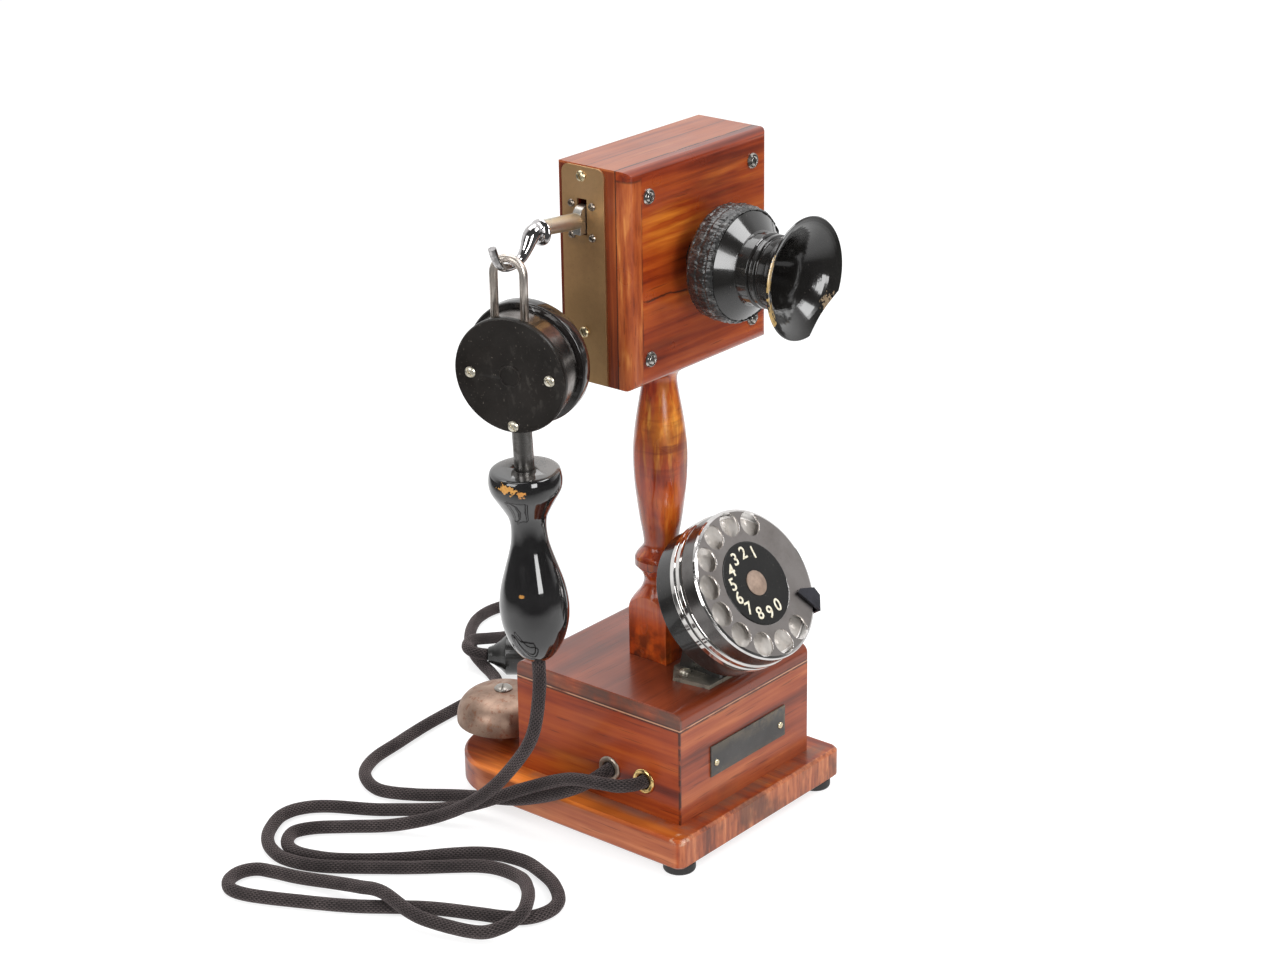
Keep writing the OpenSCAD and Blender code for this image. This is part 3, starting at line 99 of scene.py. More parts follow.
lens = bpy.data.cameras.new("camera")
lens.sensor_width = SENSOR_WIDTH
lens.lens = FOCAL_LENGTH * SENSOR_WIDTH / PHOTO_WIDTH
lens.clip_end = 50
camera = link("camera", lens)
camera.matrix_world = turned_to(VIEW_RIGHT, VIEW_UP, VIEW_BACK)
camera.location = at(-986.37, -809.12, 670.11)
SCENE.camera = camera


# ---- Short calls for building a material's nodes

PAINTS = {}

# Which axes lie across the grain, for each direction that it can run in
ACROSS = {"X": (0, 1, 1), "Y": (1, 0, 1), "Z": (1, 1, 0), "XY": (0, 0, 1)}


class Paint:
    """A material, kept in PAINTS under its name."""

    def __init__(self, name):
        self.material = bpy.data.materials.new(name)
        self.material.use_nodes = True
        self.nodes = self.material.node_tree.nodes
        self.links = self.material.node_tree.links
        self.nodes.clear()
        self.out = self.nodes.new("ShaderNodeOutputMaterial")
        self.object_space = self.nodes.new("ShaderNodeTexCoord").outputs["Object"]
        PAINTS[name] = self.material

    def put(self, socket, value):
        if isinstance(value, bpy.types.NodeSocket):
            self.links.new(value, socket)
        else:
            socket.default_value = value

    def node(self, kind, inputs=(), **settings):
        n = self.nodes.new("ShaderNode" + kind)
        for key, value in settings.items():
            setattr(n, key, value)
        for key, value in dict(inputs).items():
            self.put(n.inputs[key], value)
        return n

    def stretch(self, scale, move=(0, 0, 0), source=None):
        return self.node("Mapping", {"Vector": source or self.object_space, "Scale": scale,
                                     "Location": move}).outputs[0]

    def noise(self, vector, scale=1.0, detail=4.0, rough=0.55, distort=0.0):
        return self.node("TexNoise", {"Vector": vector, "Scale": scale, "Detail": detail,
                                      "Roughness": rough, "Distortion": distort}).outputs["Fac"]

    def cells(self, vector, scale):
        return self.node("TexVoronoi", {"Vector": vector, "Scale": scale}).outputs[0]

    def math(self, operation, a, b=0.0, c=0.0):
        return self.node("Math", {0: a, 1: b, 2: c}, operation=operation).outputs[0]

    def vector(self, operation, a, b=(0, 0, 0)):
        return self.node("VectorMath", {0: a, 1: b}, operation=operation).outputs["Value"]

    def band(self, value, low, high, to_low=0.0, to_high=1.0):
        """Runs from to_low to to_high as value goes from low to high, and stays level outside."""
        return self.node("MapRange", {"Value": value, "From Min": low, "From Max": high,
                                      "To Min": to_low, "To Max": to_high}).outputs["Result"]

    def ramp(self, value, stops):
        n = self.node("ValToRGB", {"Fac": value})
        ends = n.color_ramp.elements
        while len(ends) < len(stops):
            ends.new(0.5)
        for element, (place, colour) in zip(ends, stops):
            element.position = place
            element.color = (*colour, 1)
        return n.outputs["Color"]

    def mix(self, factor, a, b):
        n = self.node("Mix", {0: factor}, data_type="RGBA")
        first_colour, second_colour = n.inputs[6], n.inputs[7]
        for socket, value in ((first_colour, a), (second_colour, b)):
            self.put(socket, value if isinstance(value, bpy.types.NodeSocket) else (*value, 1))
        return n.outputs[2]

    def bump(self, height, strength, distance):
        inputs = {"Height": height, "Strength": strength, "Distance": distance}
        return self.node("Bump", inputs).outputs[0]

    def axes(self, vector=None):
        return self.node("SeparateXYZ", {0: vector or self.object_space}).outputs

    def within(self, low, high, soft=0.0004):
        """1 inside a box whose corners are given in the source's millimetres, 0 outside it."""
        inside = 1.0
        for axis, a, b in zip(self.axes(), at(*low), at(*high)):
            for edge, turn in ((a, soft), (b, -soft)):
                inside = self.math("MULTIPLY", self.band(axis, edge - turn, edge + turn), inside)
        return inside

    def away_from(self, place, reach):
        """0 at a place and 1 at its reach along each axis; both in the source's millimetres."""
        size = [r / 1000 for r in reach]
        move = [-c / s for c, s in zip(at(*place), size)]
        return self.vector("LENGTH", self.stretch([1 / s for s in size], move))

    def along_grain(self, along, count, slim, shift):
        """Space with count steps in a metre across the grain and slim times as many along it."""
        scale = [count * (1 if across else slim) for across in ACROSS[along]]
        return self.stretch(scale, (shift, shift, shift))

    def edges(self, low, high):
        """0 to 1 as the surface bends outwards more, which it does most on outer edges."""
        return self.band(self.node("NewGeometry").outputs["Pointiness"], low, high)

    def surface(self, colour, rough, metal=0.0, normal=None, **more):
        inputs = {"Base Color": colour, "Roughness": rough, "Metallic": metal}
        if normal:
            inputs["Normal"] = normal
        for key, value in more.items():
            inputs[key.replace("_", " ")] = value
        shader = self.node("BsdfPrincipled", inputs)
        self.links.new(shader.outputs[0], self.out.inputs[0])


def darker(colour, share):
    return [c * share for c in colour]


# ---- Wood. The layers over its figure are functions that take the paint and its colour so far.

def figure(p, tones, along, broad=45.0, fine=420.0, slim=0.045, shift=0.0, cloudy=0.14, spread=0.21):
    """Wood figure in tones from dark to light. broad and fine count its streaks in a metre across
    the grain, and slim is their share of that along it. Gives the colour and the height."""
    wide = p.noise(p.along_grain(along, broad, slim, shift), 1, 3, 0.5, 0.3)
    streak = p.noise(p.along_grain(along, broad * 3.5, slim, shift + 3), 1, 3, 0.55, 0.2)
    fibre = p.noise(p.along_grain(along, fine, slim, shift + 7), 1, 2, 0.5)
    tone = p.math("MULTIPLY_ADD", wide, 0.4, p.math("MULTIPLY", streak, 0.3))
    tone = p.math("MULTIPLY_ADD", fibre, 0.3 - cloudy, tone)
    tone = p.math("MULTIPLY_ADD", p.noise(p.object_space, 22, 3), cloudy, tone)
    step = spread / (len(tones) - 1)
    colour = p.ramp(tone, [(0.5 - spread / 2 + step * i, c) for i, c in enumerate(tones)])
    pores = p.band(p.noise(p.along_grain(along, fine * 2.4, slim, shift + 11), 1, 1, 0.5), 0.36, 0.28)
    colour = p.mix(p.math("MULTIPLY", pores, 0.45), colour, darker(tones[0], 0.4))
    return colour, p.math("SUBTRACT", fibre, pores)


def other_wood_and_painted_light(low, high, tones, along, amount=1.0, soft=0.0004, **grain):
    """Another board or end grain within a box given in the source's millimetres, and also faces in tones made
    lighter or darker for their light: painted light and painted shade.
    """
    def lay(p, colour):
        board, _ = figure(p, tones, along, **grain)
        return p.mix(p.math("MULTIPLY", p.within(low, high, soft), amount), colour, board)
    return lay


def stain_and_painted_light(low, high, tone, amount=0.8, soft=0.0004, breaks=0.0, cut=(0.42, 0.56)):
    """A stain or worn strip within such a box, broken up by a noise of breaks per metre; on the brass plate
    it lays bands of painted reflection.
    """
    def lay(p, colour):
        share = p.math("MULTIPLY", p.within(low, high, soft), amount)
        if breaks:
            share = p.math("MULTIPLY", share, p.band(p.noise(p.object_space, breaks, 4, 0.6), *cut))
        return p.mix(share, colour, tone)
    return lay


def streaks(place, reach, tone, amount=0.8, count=210.0, slim=0.1, cut=(0.44, 0.6), along="X"):
    """Streaks of another tone that fade out from a place; place and reach in millimetres."""
    def lay(p, colour):
        far = p.away_from(place, reach)
        laid = p.along_grain(along, count, slim, 5)
        mark = p.math("MULTIPLY", p.band(far, 1.0, 0.2), p.band(p.noise(laid, 1, 3, 0.6, 0.15), *cut))
        return p.mix(p.math("MULTIPLY", mark, amount), colour, tone)
    return lay


def scratch(start, end, width, tone, amount=0.85):
    """A thin mark on a face towards -Y, from start to end; places in millimetres, width in metres."""
    sway_by, fade_in, fade_out = 0.004, 0.006, 0.012

    def lay(p, colour):
        (x0, _, z0), (x1, _, z1) = at(*start), at(*end)
        x, _, z = p.axes()
        sway = p.math("MULTIPLY", p.math("SUBTRACT", p.noise(p.object_space, 90, 3), 0.5), sway_by)
        off = p.math("ABSOLUTE", p.math("ADD", p.math("SUBTRACT", z, p.band(x, x0, x1, z0, z1)), sway))
        ends = p.math("MULTIPLY", p.band(x, x0, x0 + fade_in), p.band(x, x1, x1 - fade_out))
        mark = p.math("MULTIPLY", p.band(off, width, width * 0.25), ends)
        return p.mix(p.math("MULTIPLY", mark, amount), colour, tone)
    return lay


def wood(name, tones, along, coat=0.5, rough=(0.26, 0.42), worn=None, hollow_shade=None, layers=(), **grain):
    """Stained and varnished wood with layers of stains and painted light over its figure, painted shade in
    its hollows and worn edges.
    """
    p = Paint(name)
    colour, height = figure(p, tones, along, **grain)
    for layer in layers:
        colour = layer(p, colour)
    # Painted shade: darker where the surface bends inwards, in hollows and grooves.
    if hollow_shade:
        colour = p.mix(p.math("MULTIPLY", p.edges(0.495, 0.45), 0.8), colour, hollow_shade)
    if worn:
        rub = p.math("MULTIPLY", p.edges(0.52, 0.57), p.band(p.noise(p.object_space, 130, 4), 0.42, 0.6))
        colour = p.mix(rub, colour, worn)
    gloss = p.band(p.noise(p.object_space, 30, 2), 0.3, 0.7, *rough)
    normal = p.bump(height, 0.25, 0.00008)
    p.surface(colour, gloss, 0, normal, Coat_Weight=coat, Coat_Roughness=0.18, Specular_IOR_Level=0.3)


# ---- Metal, lacquer, braid and tape

def metal(name, bright, dull, rough=(0.12, 0.3), dirt=0.5, scale=90.0, brushed=None, pits=None,
          shine=1.0, grit=0.05, layers=()):
    """Bare or plated metal with tarnish in clouds, and specks of dirt."""
    p = Paint(name)
    cloud = p.band(p.noise(p.object_space, scale, 6, 0.62), 0.5 - 0.25 * dirt, 0.85 - 0.25 * dirt)
    colour = p.mix(cloud, bright, dull)
    speck = p.band(p.noise(p.object_space, 1300, 2), 0.66, 0.72)
    colour = p.mix(p.math("MULTIPLY", speck, 0.5 * dirt), colour, darker(dull, 0.25))
    if pits:
        rust = p.band(p.noise(p.object_space, 260, 6, 0.7), 0.53, 0.62)
        colour = p.mix(p.math("MULTIPLY", rust, 0.8), colour, pits)
    for layer in layers:
        colour = layer(p, colour)
    gloss = p.band(cloud, 0, 1, *rough)
    scratches = p.noise(p.stretch(brushed or (900, 900, 900)), 1, 3)
    normal = p.bump(scratches, 0.12 if brushed else grit, 0.00008)
    p.surface(colour, gloss, shine, normal)


def chip(place, reach, tone, cut=0.5, count=420.0):
    """A layer of black: lacquer chipped off in a ragged patch with specks left in it; place and reach
    in millimetres."""
    def lay(p, colour):
        far = p.away_from(place, reach)
        torn = p.math("MULTIPLY_ADD", p.band(far, 0.3, 1.25), 0.3, cut - 0.12)
        grain = p.noise(p.object_space, count, 4, 0.65)
        mark = p.math("MULTIPLY", p.band(p.math("SUBTRACT", grain, torn), 0, 0.02), p.band(far, 1.2, 1.1))
        return p.mix(mark, colour, p.mix(p.noise(p.object_space, 900, 2), tone, darker(tone, 0.45)))
    return lay


def black(name, tone, rough=(0.1, 0.25), coat=0.3, rub=None, rub_band=(0.55, 0.62), dust=0.25,
          grain=0.0, shine=0.5, layers=()):
    """Black lacquer, rubber or moulded material with dust, rubbed edges and chips. grain is the
    depth of its rough skin in metres."""
    p = Paint(name)
    cloud = p.noise(p.object_space, 45, 5)
    colour = p.mix(p.band(cloud, 0.35, 0.7), tone, [c * 1.7 + 0.003 for c in tone])
    speck = p.band(p.noise(p.object_space, 900, 2), 0.68, 0.76)
    colour = p.mix(p.math("MULTIPLY", speck, dust), colour, (0.22, 0.19, 0.16))
    if rub:
        wear = p.math("MULTIPLY", p.edges(*rub_band), p.band(p.noise(p.object_space, 220, 4), 0.38, 0.55))
        colour = p.mix(wear, colour, rub)
    for layer in layers:
        colour = layer(p, colour)
    gloss = p.band(p.noise(p.object_space, 60, 3), 0.3, 0.7, *rough)
    height = p.noise(p.object_space, 700 if grain else 40, 3)
    normal = p.bump(height, 0.5 if grain else 0.04, grain or 0.0002)
    p.surface(colour, gloss, 0, normal, Coat_Weight=coat, Coat_Roughness=0.05, Specular_IOR_Level=shine)


def braid(name):
    """Braided cotton, laid out by the cord's own length and girth in its UV map."""
    p = Paint(name)
    flat = p.node("UVMap", uv_map="cord").outputs[0]
    u, v, _ = p.axes(flat)
    threads, pitch, ribs_round = 11.0, 9.0, 22

    def spiral(steep):
        turns = p.math("MULTIPLY_ADD", u, threads, p.math("MULTIPLY", v, steep))
        return p.math("SINE", p.math("MULTIPLY", turns, math.tau))

    weave = p.math("MAXIMUM", spiral(pitch), spiral(-pitch))
    ribs = p.math("SINE", p.math("MULTIPLY", u, math.tau * ribs_round))
    thread = p.noise(p.stretch((60, 160, 1), source=flat), 1, 3)
    fuzz = p.noise(p.object_space, 55, 4)
    tone = p.math("MULTIPLY_ADD", thread, 0.5, p.math("MULTIPLY", fuzz, 0.3))
    tone = p.math("MULTIPLY_ADD", weave, 0.14, tone)
    tone = p.math("MULTIPLY_ADD", ribs, 0.07, tone)
    colour = p.ramp(tone, [(0.25, (0.004, 0.0034, 0.0034)), (0.42, (0.014, 0.011, 0.011)),
                           (0.56, (0.042, 0.033, 0.033)), (0.7, (0.15, 0.12, 0.115))])
    height = p.math("MULTIPLY_ADD", ribs, 0.2, p.math("MULTIPLY", thread, 0.7))
    height = p.math("MULTIPLY_ADD", weave, 0.5, height)
    p.surface(colour, 0.88, 0, p.bump(height, 0.9, 0.0003), Sheen_Weight=0.35, Sheen_Roughness=0.45,
              Sheen_Tint=(0.55, 0.45, 0.45, 1), Specular_IOR_Level=0.25)


def tape(name):
    """Black cloth tape, wound, shiny on its ridges and duller between them; its colour is lighter on the
    ridges and near black in the creases, which is painted highlight and painted shade that follow its bumps.
    """
    p = Paint(name)
    ridge = p.noise(p.stretch((260, 90, 260)), 1, 4, 0.6, 0.8)
    weave = p.cells(p.object_space, 900)
    # Painted highlight on the ridges and painted shade in the creases.
    colour = p.ramp(ridge, [(0.35, (0.004, 0.004, 0.004)), (0.55, (0.014, 0.0135, 0.013)),
                            (0.72, (0.11, 0.107, 0.104))])
    gloss = p.band(ridge, 0.35, 0.65, 0.45, 0.16)
    height = p.math("MULTIPLY_ADD", ridge, 1.0, p.math("MULTIPLY", weave, 0.25))
    p.surface(colour, gloss, 0, p.bump(height, 0.8, 0.0007), Coat_Weight=0.5, Coat_Roughness=0.14)


# ---- The paints, by the nodes' material slots

# Tones of wood from dark to light, for figure
RED = [(0.1, 0.011, 0.003), (0.2, 0.024, 0.004), (0.28, 0.043, 0.006), (0.35, 0.066, 0.009),
       (0.46, 0.12, 0.02)]
DEEP = [(0.07, 0.012, 0.004), (0.13, 0.022, 0.007), (0.2, 0.036, 0.011), (0.29, 0.06, 0.02),
        (0.4, 0.11, 0.04)]
# Lighter, paler tones for the head's top boards: painted light.
TOP_PAINTED_LIGHT = [(0.162, 0.0248, 0.0056), (0.259, 0.0537, 0.0124), (0.323, 0.0743, 0.0185), (0.372, 0.0991, 0.0248),
       (0.453, 0.1569, 0.0495)]
END = [(0.13, 0.035, 0.018), (0.24, 0.06, 0.025), (0.33, 0.09, 0.035), (0.42, 0.13, 0.05),
       (0.52, 0.19, 0.08)]
# Lighter tones for the panel's rounded left edge: painted light.
STRIP_PAINTED_LIGHT = [(0.093, 0.0186, 0.0074), (0.214, 0.0391, 0.0102), (0.288, 0.0614, 0.0149), (0.363, 0.093, 0.0223),
         (0.512, 0.186, 0.0465)]
# Much darker tones for the head case's left side: painted shade.
SIDE_PAINTED_SHADE = [(0.047, 0.0062, 0.0023), (0.094, 0.0125, 0.0031), (0.14, 0.0218, 0.0047), (0.195, 0.0343, 0.0062),
        (0.281, 0.0624, 0.0109)]
# Tones for the box front, kept down against the strong light on it: painted shade.
FRONT_PAINTED_SHADE = [(0.114, 0.0197, 0.0078), (0.19, 0.0328, 0.0101), (0.247, 0.0451, 0.014), (0.314, 0.0697, 0.0203),
         (0.418, 0.1148, 0.0351)]
AMBER = [(0.08, 0.0059, 0.0019), (0.184, 0.0142, 0.0026), (0.28, 0.0296, 0.0038), (0.384, 0.0592, 0.0077),
         (0.528, 0.1421, 0.0224)]
SOOT = (0.022, 0.008, 0.005)  # for gaps and dark edges

wood("plate_wood", RED, "Y", 0.35, (0.32, 0.5), layers=(
    # A painted pool of light: brighter orange over the left part of the plate's top, broken into streaks.
    streaks((-60, 34, 20.6), (16, 66, 6), (0.85, 0.24, 0.03), 0.95, 120, 0.1, (0.26, 0.52), "Y"),
    streaks((-60, -40, 20.6), (10, 40, 6), (0.5, 0.14, 0.02), 0.7, 120, 0.1, (0.36, 0.6), "Y"),
    stain_and_painted_light((-56, -60, 19), (-50, 40, 22), (0.2, 0.13, 0.1), 0.7, 0.002, 60, (0.34, 0.58)),
    stain_and_painted_light((-56, -58, 19), (60, -50, 22), (0.12, 0.07, 0.05), 0.7, 0.0016, 60, (0.35, 0.6)),
    other_wood_and_painted_light((-70, -70, 0), (70, -60, 22), END, "Z", 1.0, 0.0005, broad=120.0, slim=0.12),
    stain_and_painted_light((-66, -70, 0), (66, -60, 22), (0.07, 0.03, 0.02), 0.7, 0.001, 38, (0.5, 0.66)),
    other_wood_and_painted_light((-70, -59, 0), (-63, 100, 19.5), END, "Y", 0.7, 0.0006, broad=70.0),
    stain_and_painted_light((-64, -62, 18), (-57, -55, 22), (0.5, 0.3, 0.2), 0.7, 0.0004, 320, (0.5, 0.58))))
wood("box_wood", RED, "XY", 0.4, (0.3, 0.44), broad=40.0, spread=0.26, layers=(
    # The box front's board in tones kept down: painted shade, over its own grain.
    other_wood_and_painted_light((-49.8, -52, 0), (52, -49, 80), FRONT_PAINTED_SHADE, "X", 1.0, 0.0005, broad=34.0, shift=20.0),
    stain_and_painted_light((-51, -52, 20), (52, -50, 30), (0.09, 0.03, 0.02), 0.75, 0.003, 55, (0.42, 0.62)),
    stain_and_painted_light((-51, -52, 20), (-49.4, -49.8, 70), SOOT, 0.85, 0.0003, 160, (0.36, 0.5)),
    stain_and_painted_light((-52, -52, 68.5), (52, 52, 69.8), SOOT, 0.8, 0.0003, 90, (0.3, 0.45)),
    streaks((-50, 20, 32), (4, 30, 9), (0.5, 0.13, 0.015), 0.7, 150, 0.07, (0.4, 0.6), "Y")))
wood("lid_wood", DEEP, "X", 0.55, (0.26, 0.42), broad=30.0, spread=0.34, cloudy=0.2, layers=(
    other_wood_and_painted_light((-52, -52, 68), (-49.2, 52, 77.2), DEEP, "Y", 0.8, 0.0005, broad=90.0, slim=0.1),
    stain_and_painted_light((-52, -52, 68), (-48.7, 52, 77.8), (0.07, 0.04, 0.03), 0.8, 0.0006, 70, (0.3, 0.6)),
    stain_and_painted_light((-52, -52, 68), (52, 52, 70.1), (0.5, 0.26, 0.15), 0.9, 0.00022, 60, (0.28, 0.42)),
    stain_and_painted_light((-52, -52, 70.2), (52, 52, 70.9), SOOT, 0.8, 0.00025, 80, (0.28, 0.42))))
# The column gets painted shade in its hollows.
wood("column_wood", AMBER, "Z", 0.9, (0.16, 0.3), worn=(0.06, 0.014, 0.006), hollow_shade=(0.05, 0.008, 0.004),
     broad=70.0, slim=0.09, cloudy=0.24, layers=(
    streaks((0, 0, 92), (34, 34, 26), (0.6, 0.085, 0.008), 0.85, 90, 0.2, (0.26, 0.56), "Z"),
    streaks((-4, -9, 198), (22, 22, 24), (0.8, 0.27, 0.02), 0.75, 34, 1.0, (0.34, 0.66), "Z"),
    streaks((-4, -9, 150), (22, 22, 22), (0.68, 0.19, 0.015), 0.5, 40, 1.0, (0.38, 0.68), "Z"),
    streaks((-4, -9, 196), (22, 22, 30), (0.9, 0.42, 0.06), 0.6, 240, 0.1, (0.5, 0.64), "Z"),
    streaks((-4, -9, 193), (24, 24, 34), (0.13, 0.016, 0.005), 0.7, 26, 9.0, (0.54, 0.66), "Z"),
    streaks((0, 0, 180), (34, 34, 80), (0.13, 0.016, 0.005), 0.75, 75, 0.6, (0.48, 0.66), "Z")))
wood("case_wood", RED, "X", 0.5, (0.3, 0.4), layers=(
    # The head's top boards in lighter tones: painted light, over their own grain.
    other_wood_and_painted_light((-52, -18, 333.5), (52, 16, 336), TOP_PAINTED_LIGHT, "X", 1.0, 0.0003, broad=60.0),
    other_wood_and_painted_light((-52, -18, 333.5), (52, -1, 336), TOP_PAINTED_LIGHT, "X", 0.7, 0.0002, broad=60.0, shift=9.0),
    # The head case's left side in darker tones: painted shade, over its own grain.
    other_wood_and_painted_light((-52, -18, 232), (-50, 16, 333.7), SIDE_PAINTED_SHADE, "Z", 1.0, 0.0003, broad=60.0, slim=0.03),
    stain_and_painted_light((-52, -18, 230), (52, -17.3, 336), SOOT, 0.95, 0.00015, 40, (0.2, 0.36)),
    stain_and_painted_light((-52, -1.3, 333.5), (52, -0.7, 336), (0.08, 0.025, 0.015), 0.85, 0.0002, 60, (0.3, 0.45)),
    stain_and_painted_light((-52, -18, 333), (52, -16.8, 336), SOOT, 0.9, 0.0002, 130, (0.4, 0.5))))
wood("panel_wood", RED, "X", 0.5, (0.24, 0.36), broad=48.0, layers=(
    streaks((-24, -26, 305), (34, 9, 13), (0.62, 0.2, 0.022), 0.85, 190, 0.09, (0.42, 0.6)),
    streaks((25, -26, 318), (30, 9, 9), (0.55, 0.16, 0.02), 0.7, 190, 0.07, (0.46, 0.62)),
    streaks((10, -26, 322), (60, 9, 14), (0.085, 0.012, 0.004), 0.8, 150, 0.05, (0.5, 0.64)),
    streaks((-30, -26, 250), (34, 9, 22), (0.12, 0.02, 0.007), 0.65, 130, 0.06, (0.5, 0.66)),
    scratch((-44.6, -25.9, 273.8), (-1.3, -25.9, 271.3), 0.0007, SOOT),
    # The panel's rounded left edge in lighter tones: painted light, over its own upright grain.
    other_wood_and_painted_light((-52, -30, 230), (-42.6, -17, 330.2), STRIP_PAINTED_LIGHT, "Z", 0.9, 0.0004, broad=110.0, slim=0.14),
    stain_and_painted_light((-42.9, -30, 230), (-42.2, -17, 331), SOOT, 0.6, 0.0003, 60, (0.4, 0.55)),
    stain_and_painted_light((-52, -30, 329.6), (-43, -17, 330.6), SOOT, 0.6, 0.0003, 60, (0.35, 0.5)),
    stain_and_painted_light((-52, -17.9, 230), (52, -17, 336), SOOT, 0.8, 0.00015, 40, (0.25, 0.42))))
black("foot_rubber", (0.012, 0.011, 0.011), (0.5, 0.7), 0.0, dust=0.4, grain=0.0001)
metal("screw_steel", (0.5, 0.48, 0.45), (0.22, 0.19, 0.16), (0.25, 0.45))
black("plate_black", (0.03, 0.028, 0.027), (0.32, 0.46), 0.1, rub=(0.25, 0.18, 0.09), dust=0.35)
metal("screw_brass", (0.8, 0.7, 0.48), (0.5, 0.4, 0.24), (0.25, 0.42), 0.4)
metal("bright_brass", (0.86, 0.62, 0.26), (0.5, 0.33, 0.12), (0.14, 0.32), 0.35, 160)
metal("dull_nickel", (0.5, 0.43, 0.36), (0.28, 0.23, 0.18), (0.28, 0.5), 0.6, 160)
metal("gong_metal", (0.45, 0.31, 0.235), (0.25, 0.17, 0.13), (0.4, 0.58), 0.7, 70, brushed=(60, 60, 900),
      pits=(0.26, 0.12, 0.075))
metal("plain_steel", (0.45, 0.44, 0.42), (0.22, 0.2, 0.18), (0.3, 0.5))
black("coil_silk", (0.03, 0.05, 0.02), (0.6, 0.8), 0.0, grain=0.0003)
black("condenser_card", (0.2, 0.14, 0.07), (0.6, 0.8), 0.0, grain=0.0002)
black("moulded_black", (0.012, 0.011, 0.01), (0.2, 0.35), 0.1)
metal("screw_nickel", (0.62, 0.6, 0.57), (0.3, 0.27, 0.24), (0.14, 0.34), 0.4, 200)
metal("plate_brass", (0.72, 0.43, 0.2), (0.46, 0.27, 0.13), (0.4, 0.55), 0.6, 40, brushed=(500, 500, 20),
      layers=(
    # Painted reflection: soft bands on the brass plate, pale at the top, lighter at the bottom and darker in
    # the middle.
    stain_and_painted_light((-53, -13, 318), (-50, 14, 336), (0.95, 0.7, 0.44), 0.75, 0.012),
    stain_and_painted_light((-53, -13, 230), (-50, 14, 262), (0.66, 0.48, 0.24), 0.7, 0.012),
    stain_and_painted_light((-53, -13, 266), (-50, 14, 300), (0.34, 0.21, 0.1), 0.6, 0.01),
    stain_and_painted_light((-53, -7, 298), (-50, 10, 318), (0.2, 0.14, 0.09), 0.5, 0.002, 90)))
metal("lever_steel", (0.72, 0.69, 0.64), (0.45, 0.42, 0.38), (0.3, 0.45), 0.5, 200)
metal("sleeve_nickel", (0.74, 0.72, 0.62), (0.55, 0.51, 0.42), (0.34, 0.46), 0.5, 120, brushed=(60, 500, 500))
metal("hook_chrome", (0.7, 0.68, 0.68), (0.35, 0.33, 0.33), (0.05, 0.14), 0.25, 200, grit=0.02, layers=(
    stain_and_painted_light((-116, -9, 297), (-104, 9, 318), (0.1, 0.095, 0.09), 0.6, 0.002, 260),))
metal("spring_brass", (0.7, 0.5, 0.22), (0.35, 0.23, 0.1), (0.25, 0.4))
black("stem_black", (0.01, 0.01, 0.01), (0.2, 0.35), 0.3)
black("cup_black", (0.007, 0.0065, 0.006), (0.12, 0.22), 0.7, rub=(0.06, 0.055, 0.05), rub_band=(0.52, 0.6),
      dust=0.2)
tape("tape_black")
black("horn_black", (0.006, 0.0055, 0.005), (0.1, 0.2), 0.7, rub=(0.02, 0.017, 0.014), rub_band=(0.54, 0.6),
      dust=0.15, layers=(
    chip((-26, -85, 292), (6, 2.2, 14), (0.5, 0.33, 0.12), 0.5, 500.0),
    chip((-24, -85, 275), (6, 2.0, 10), (0.5, 0.33, 0.12), 0.5, 500.0),
    chip((19, -84, 267), (6, 4, 9), (0.3, 0.22, 0.14), 0.52, 600.0)))
black("cover_black", (0.0075, 0.006, 0.005), (0.28, 0.42), 0.1, rub=(0.05, 0.042, 0.035),
      rub_band=(0.53, 0.6), dust=0.45, shine=0.22, layers=(
    streaks((-103.85, -30, 250), (26, 60, 26), (0.05, 0.045, 0.04), 0.5, 300, 0.5, (0.56, 0.66), "Z"),))
metal("bail_nickel", (0.72, 0.66, 0.6), (0.5, 0.43, 0.37), (0.34, 0.46), 0.5, 180)
metal("case_nickel", (0.3, 0.275, 0.26), (0.1, 0.085, 0.075), (0.16, 0.32), 0.6, 110, brushed=(500, 60, 60))
black("cap_black", (0.009, 0.0075, 0.007), (0.12, 0.22), 0.5, rub=(0.06, 0.05, 0.045), rub_band=(0.54, 0.62))
black("magnet_red", (0.25, 0.02, 0.012), (0.4, 0.55), 0.1)
metal("neck_metal", (0.3, 0.29, 0.28), (0.12, 0.11, 0.1), (0.22, 0.4), 0.5, 200)
black("handle_lacquer", (0.005, 0.0048, 0.005), (0.06, 0.12), 0.9, dust=0.1, layers=(
    chip((-110.5, -2, 199), (5, 5.5, 3), (0.68, 0.34, 0.09), 0.5, 480.0),
    chip((-108.3, -8.4, 197.2), (3, 3, 2.2), (0.6, 0.27, 0.07), 0.5, 480.0),
    chip((-105.1, -3.9, 145.3), (1.2, 1.2, 1.2), (0.5, 0.24, 0.06), 0.42, 700.0),
    stain_and_painted_light((-115, -20, 203.1), (-75, 20, 206), (0.17, 0.15, 0.135), 0.85, 0.0005, 150, (0.32, 0.5))))
black("bracket_black", (0.02, 0.019, 0.017), (0.24, 0.4), 0.3, rub=(0.25, 0.22, 0.18), rub_band=(0.53, 0.6),
      dust=0.3, layers=(
    stain_and_painted_light((-60, -80, 78), (60, 0, 80.4), (0.16, 0.142, 0.11), 0.85, 0.0003, 90, (0.3, 0.5)),))
black("dial_black", (0.006, 0.0055, 0.005), (0.16, 0.3), 0.4, rub=(0.05, 0.045, 0.04))
metal("dial_nickel", (0.78, 0.76, 0.74), (0.6, 0.57, 0.54), (0.06, 0.12), 0.25, 60, grit=0.002)
metal("wheel_nickel", (0.33, 0.305, 0.295), (0.22, 0.2, 0.19), (0.3, 0.42), 0.5, 60, brushed=(900, 200, 200))
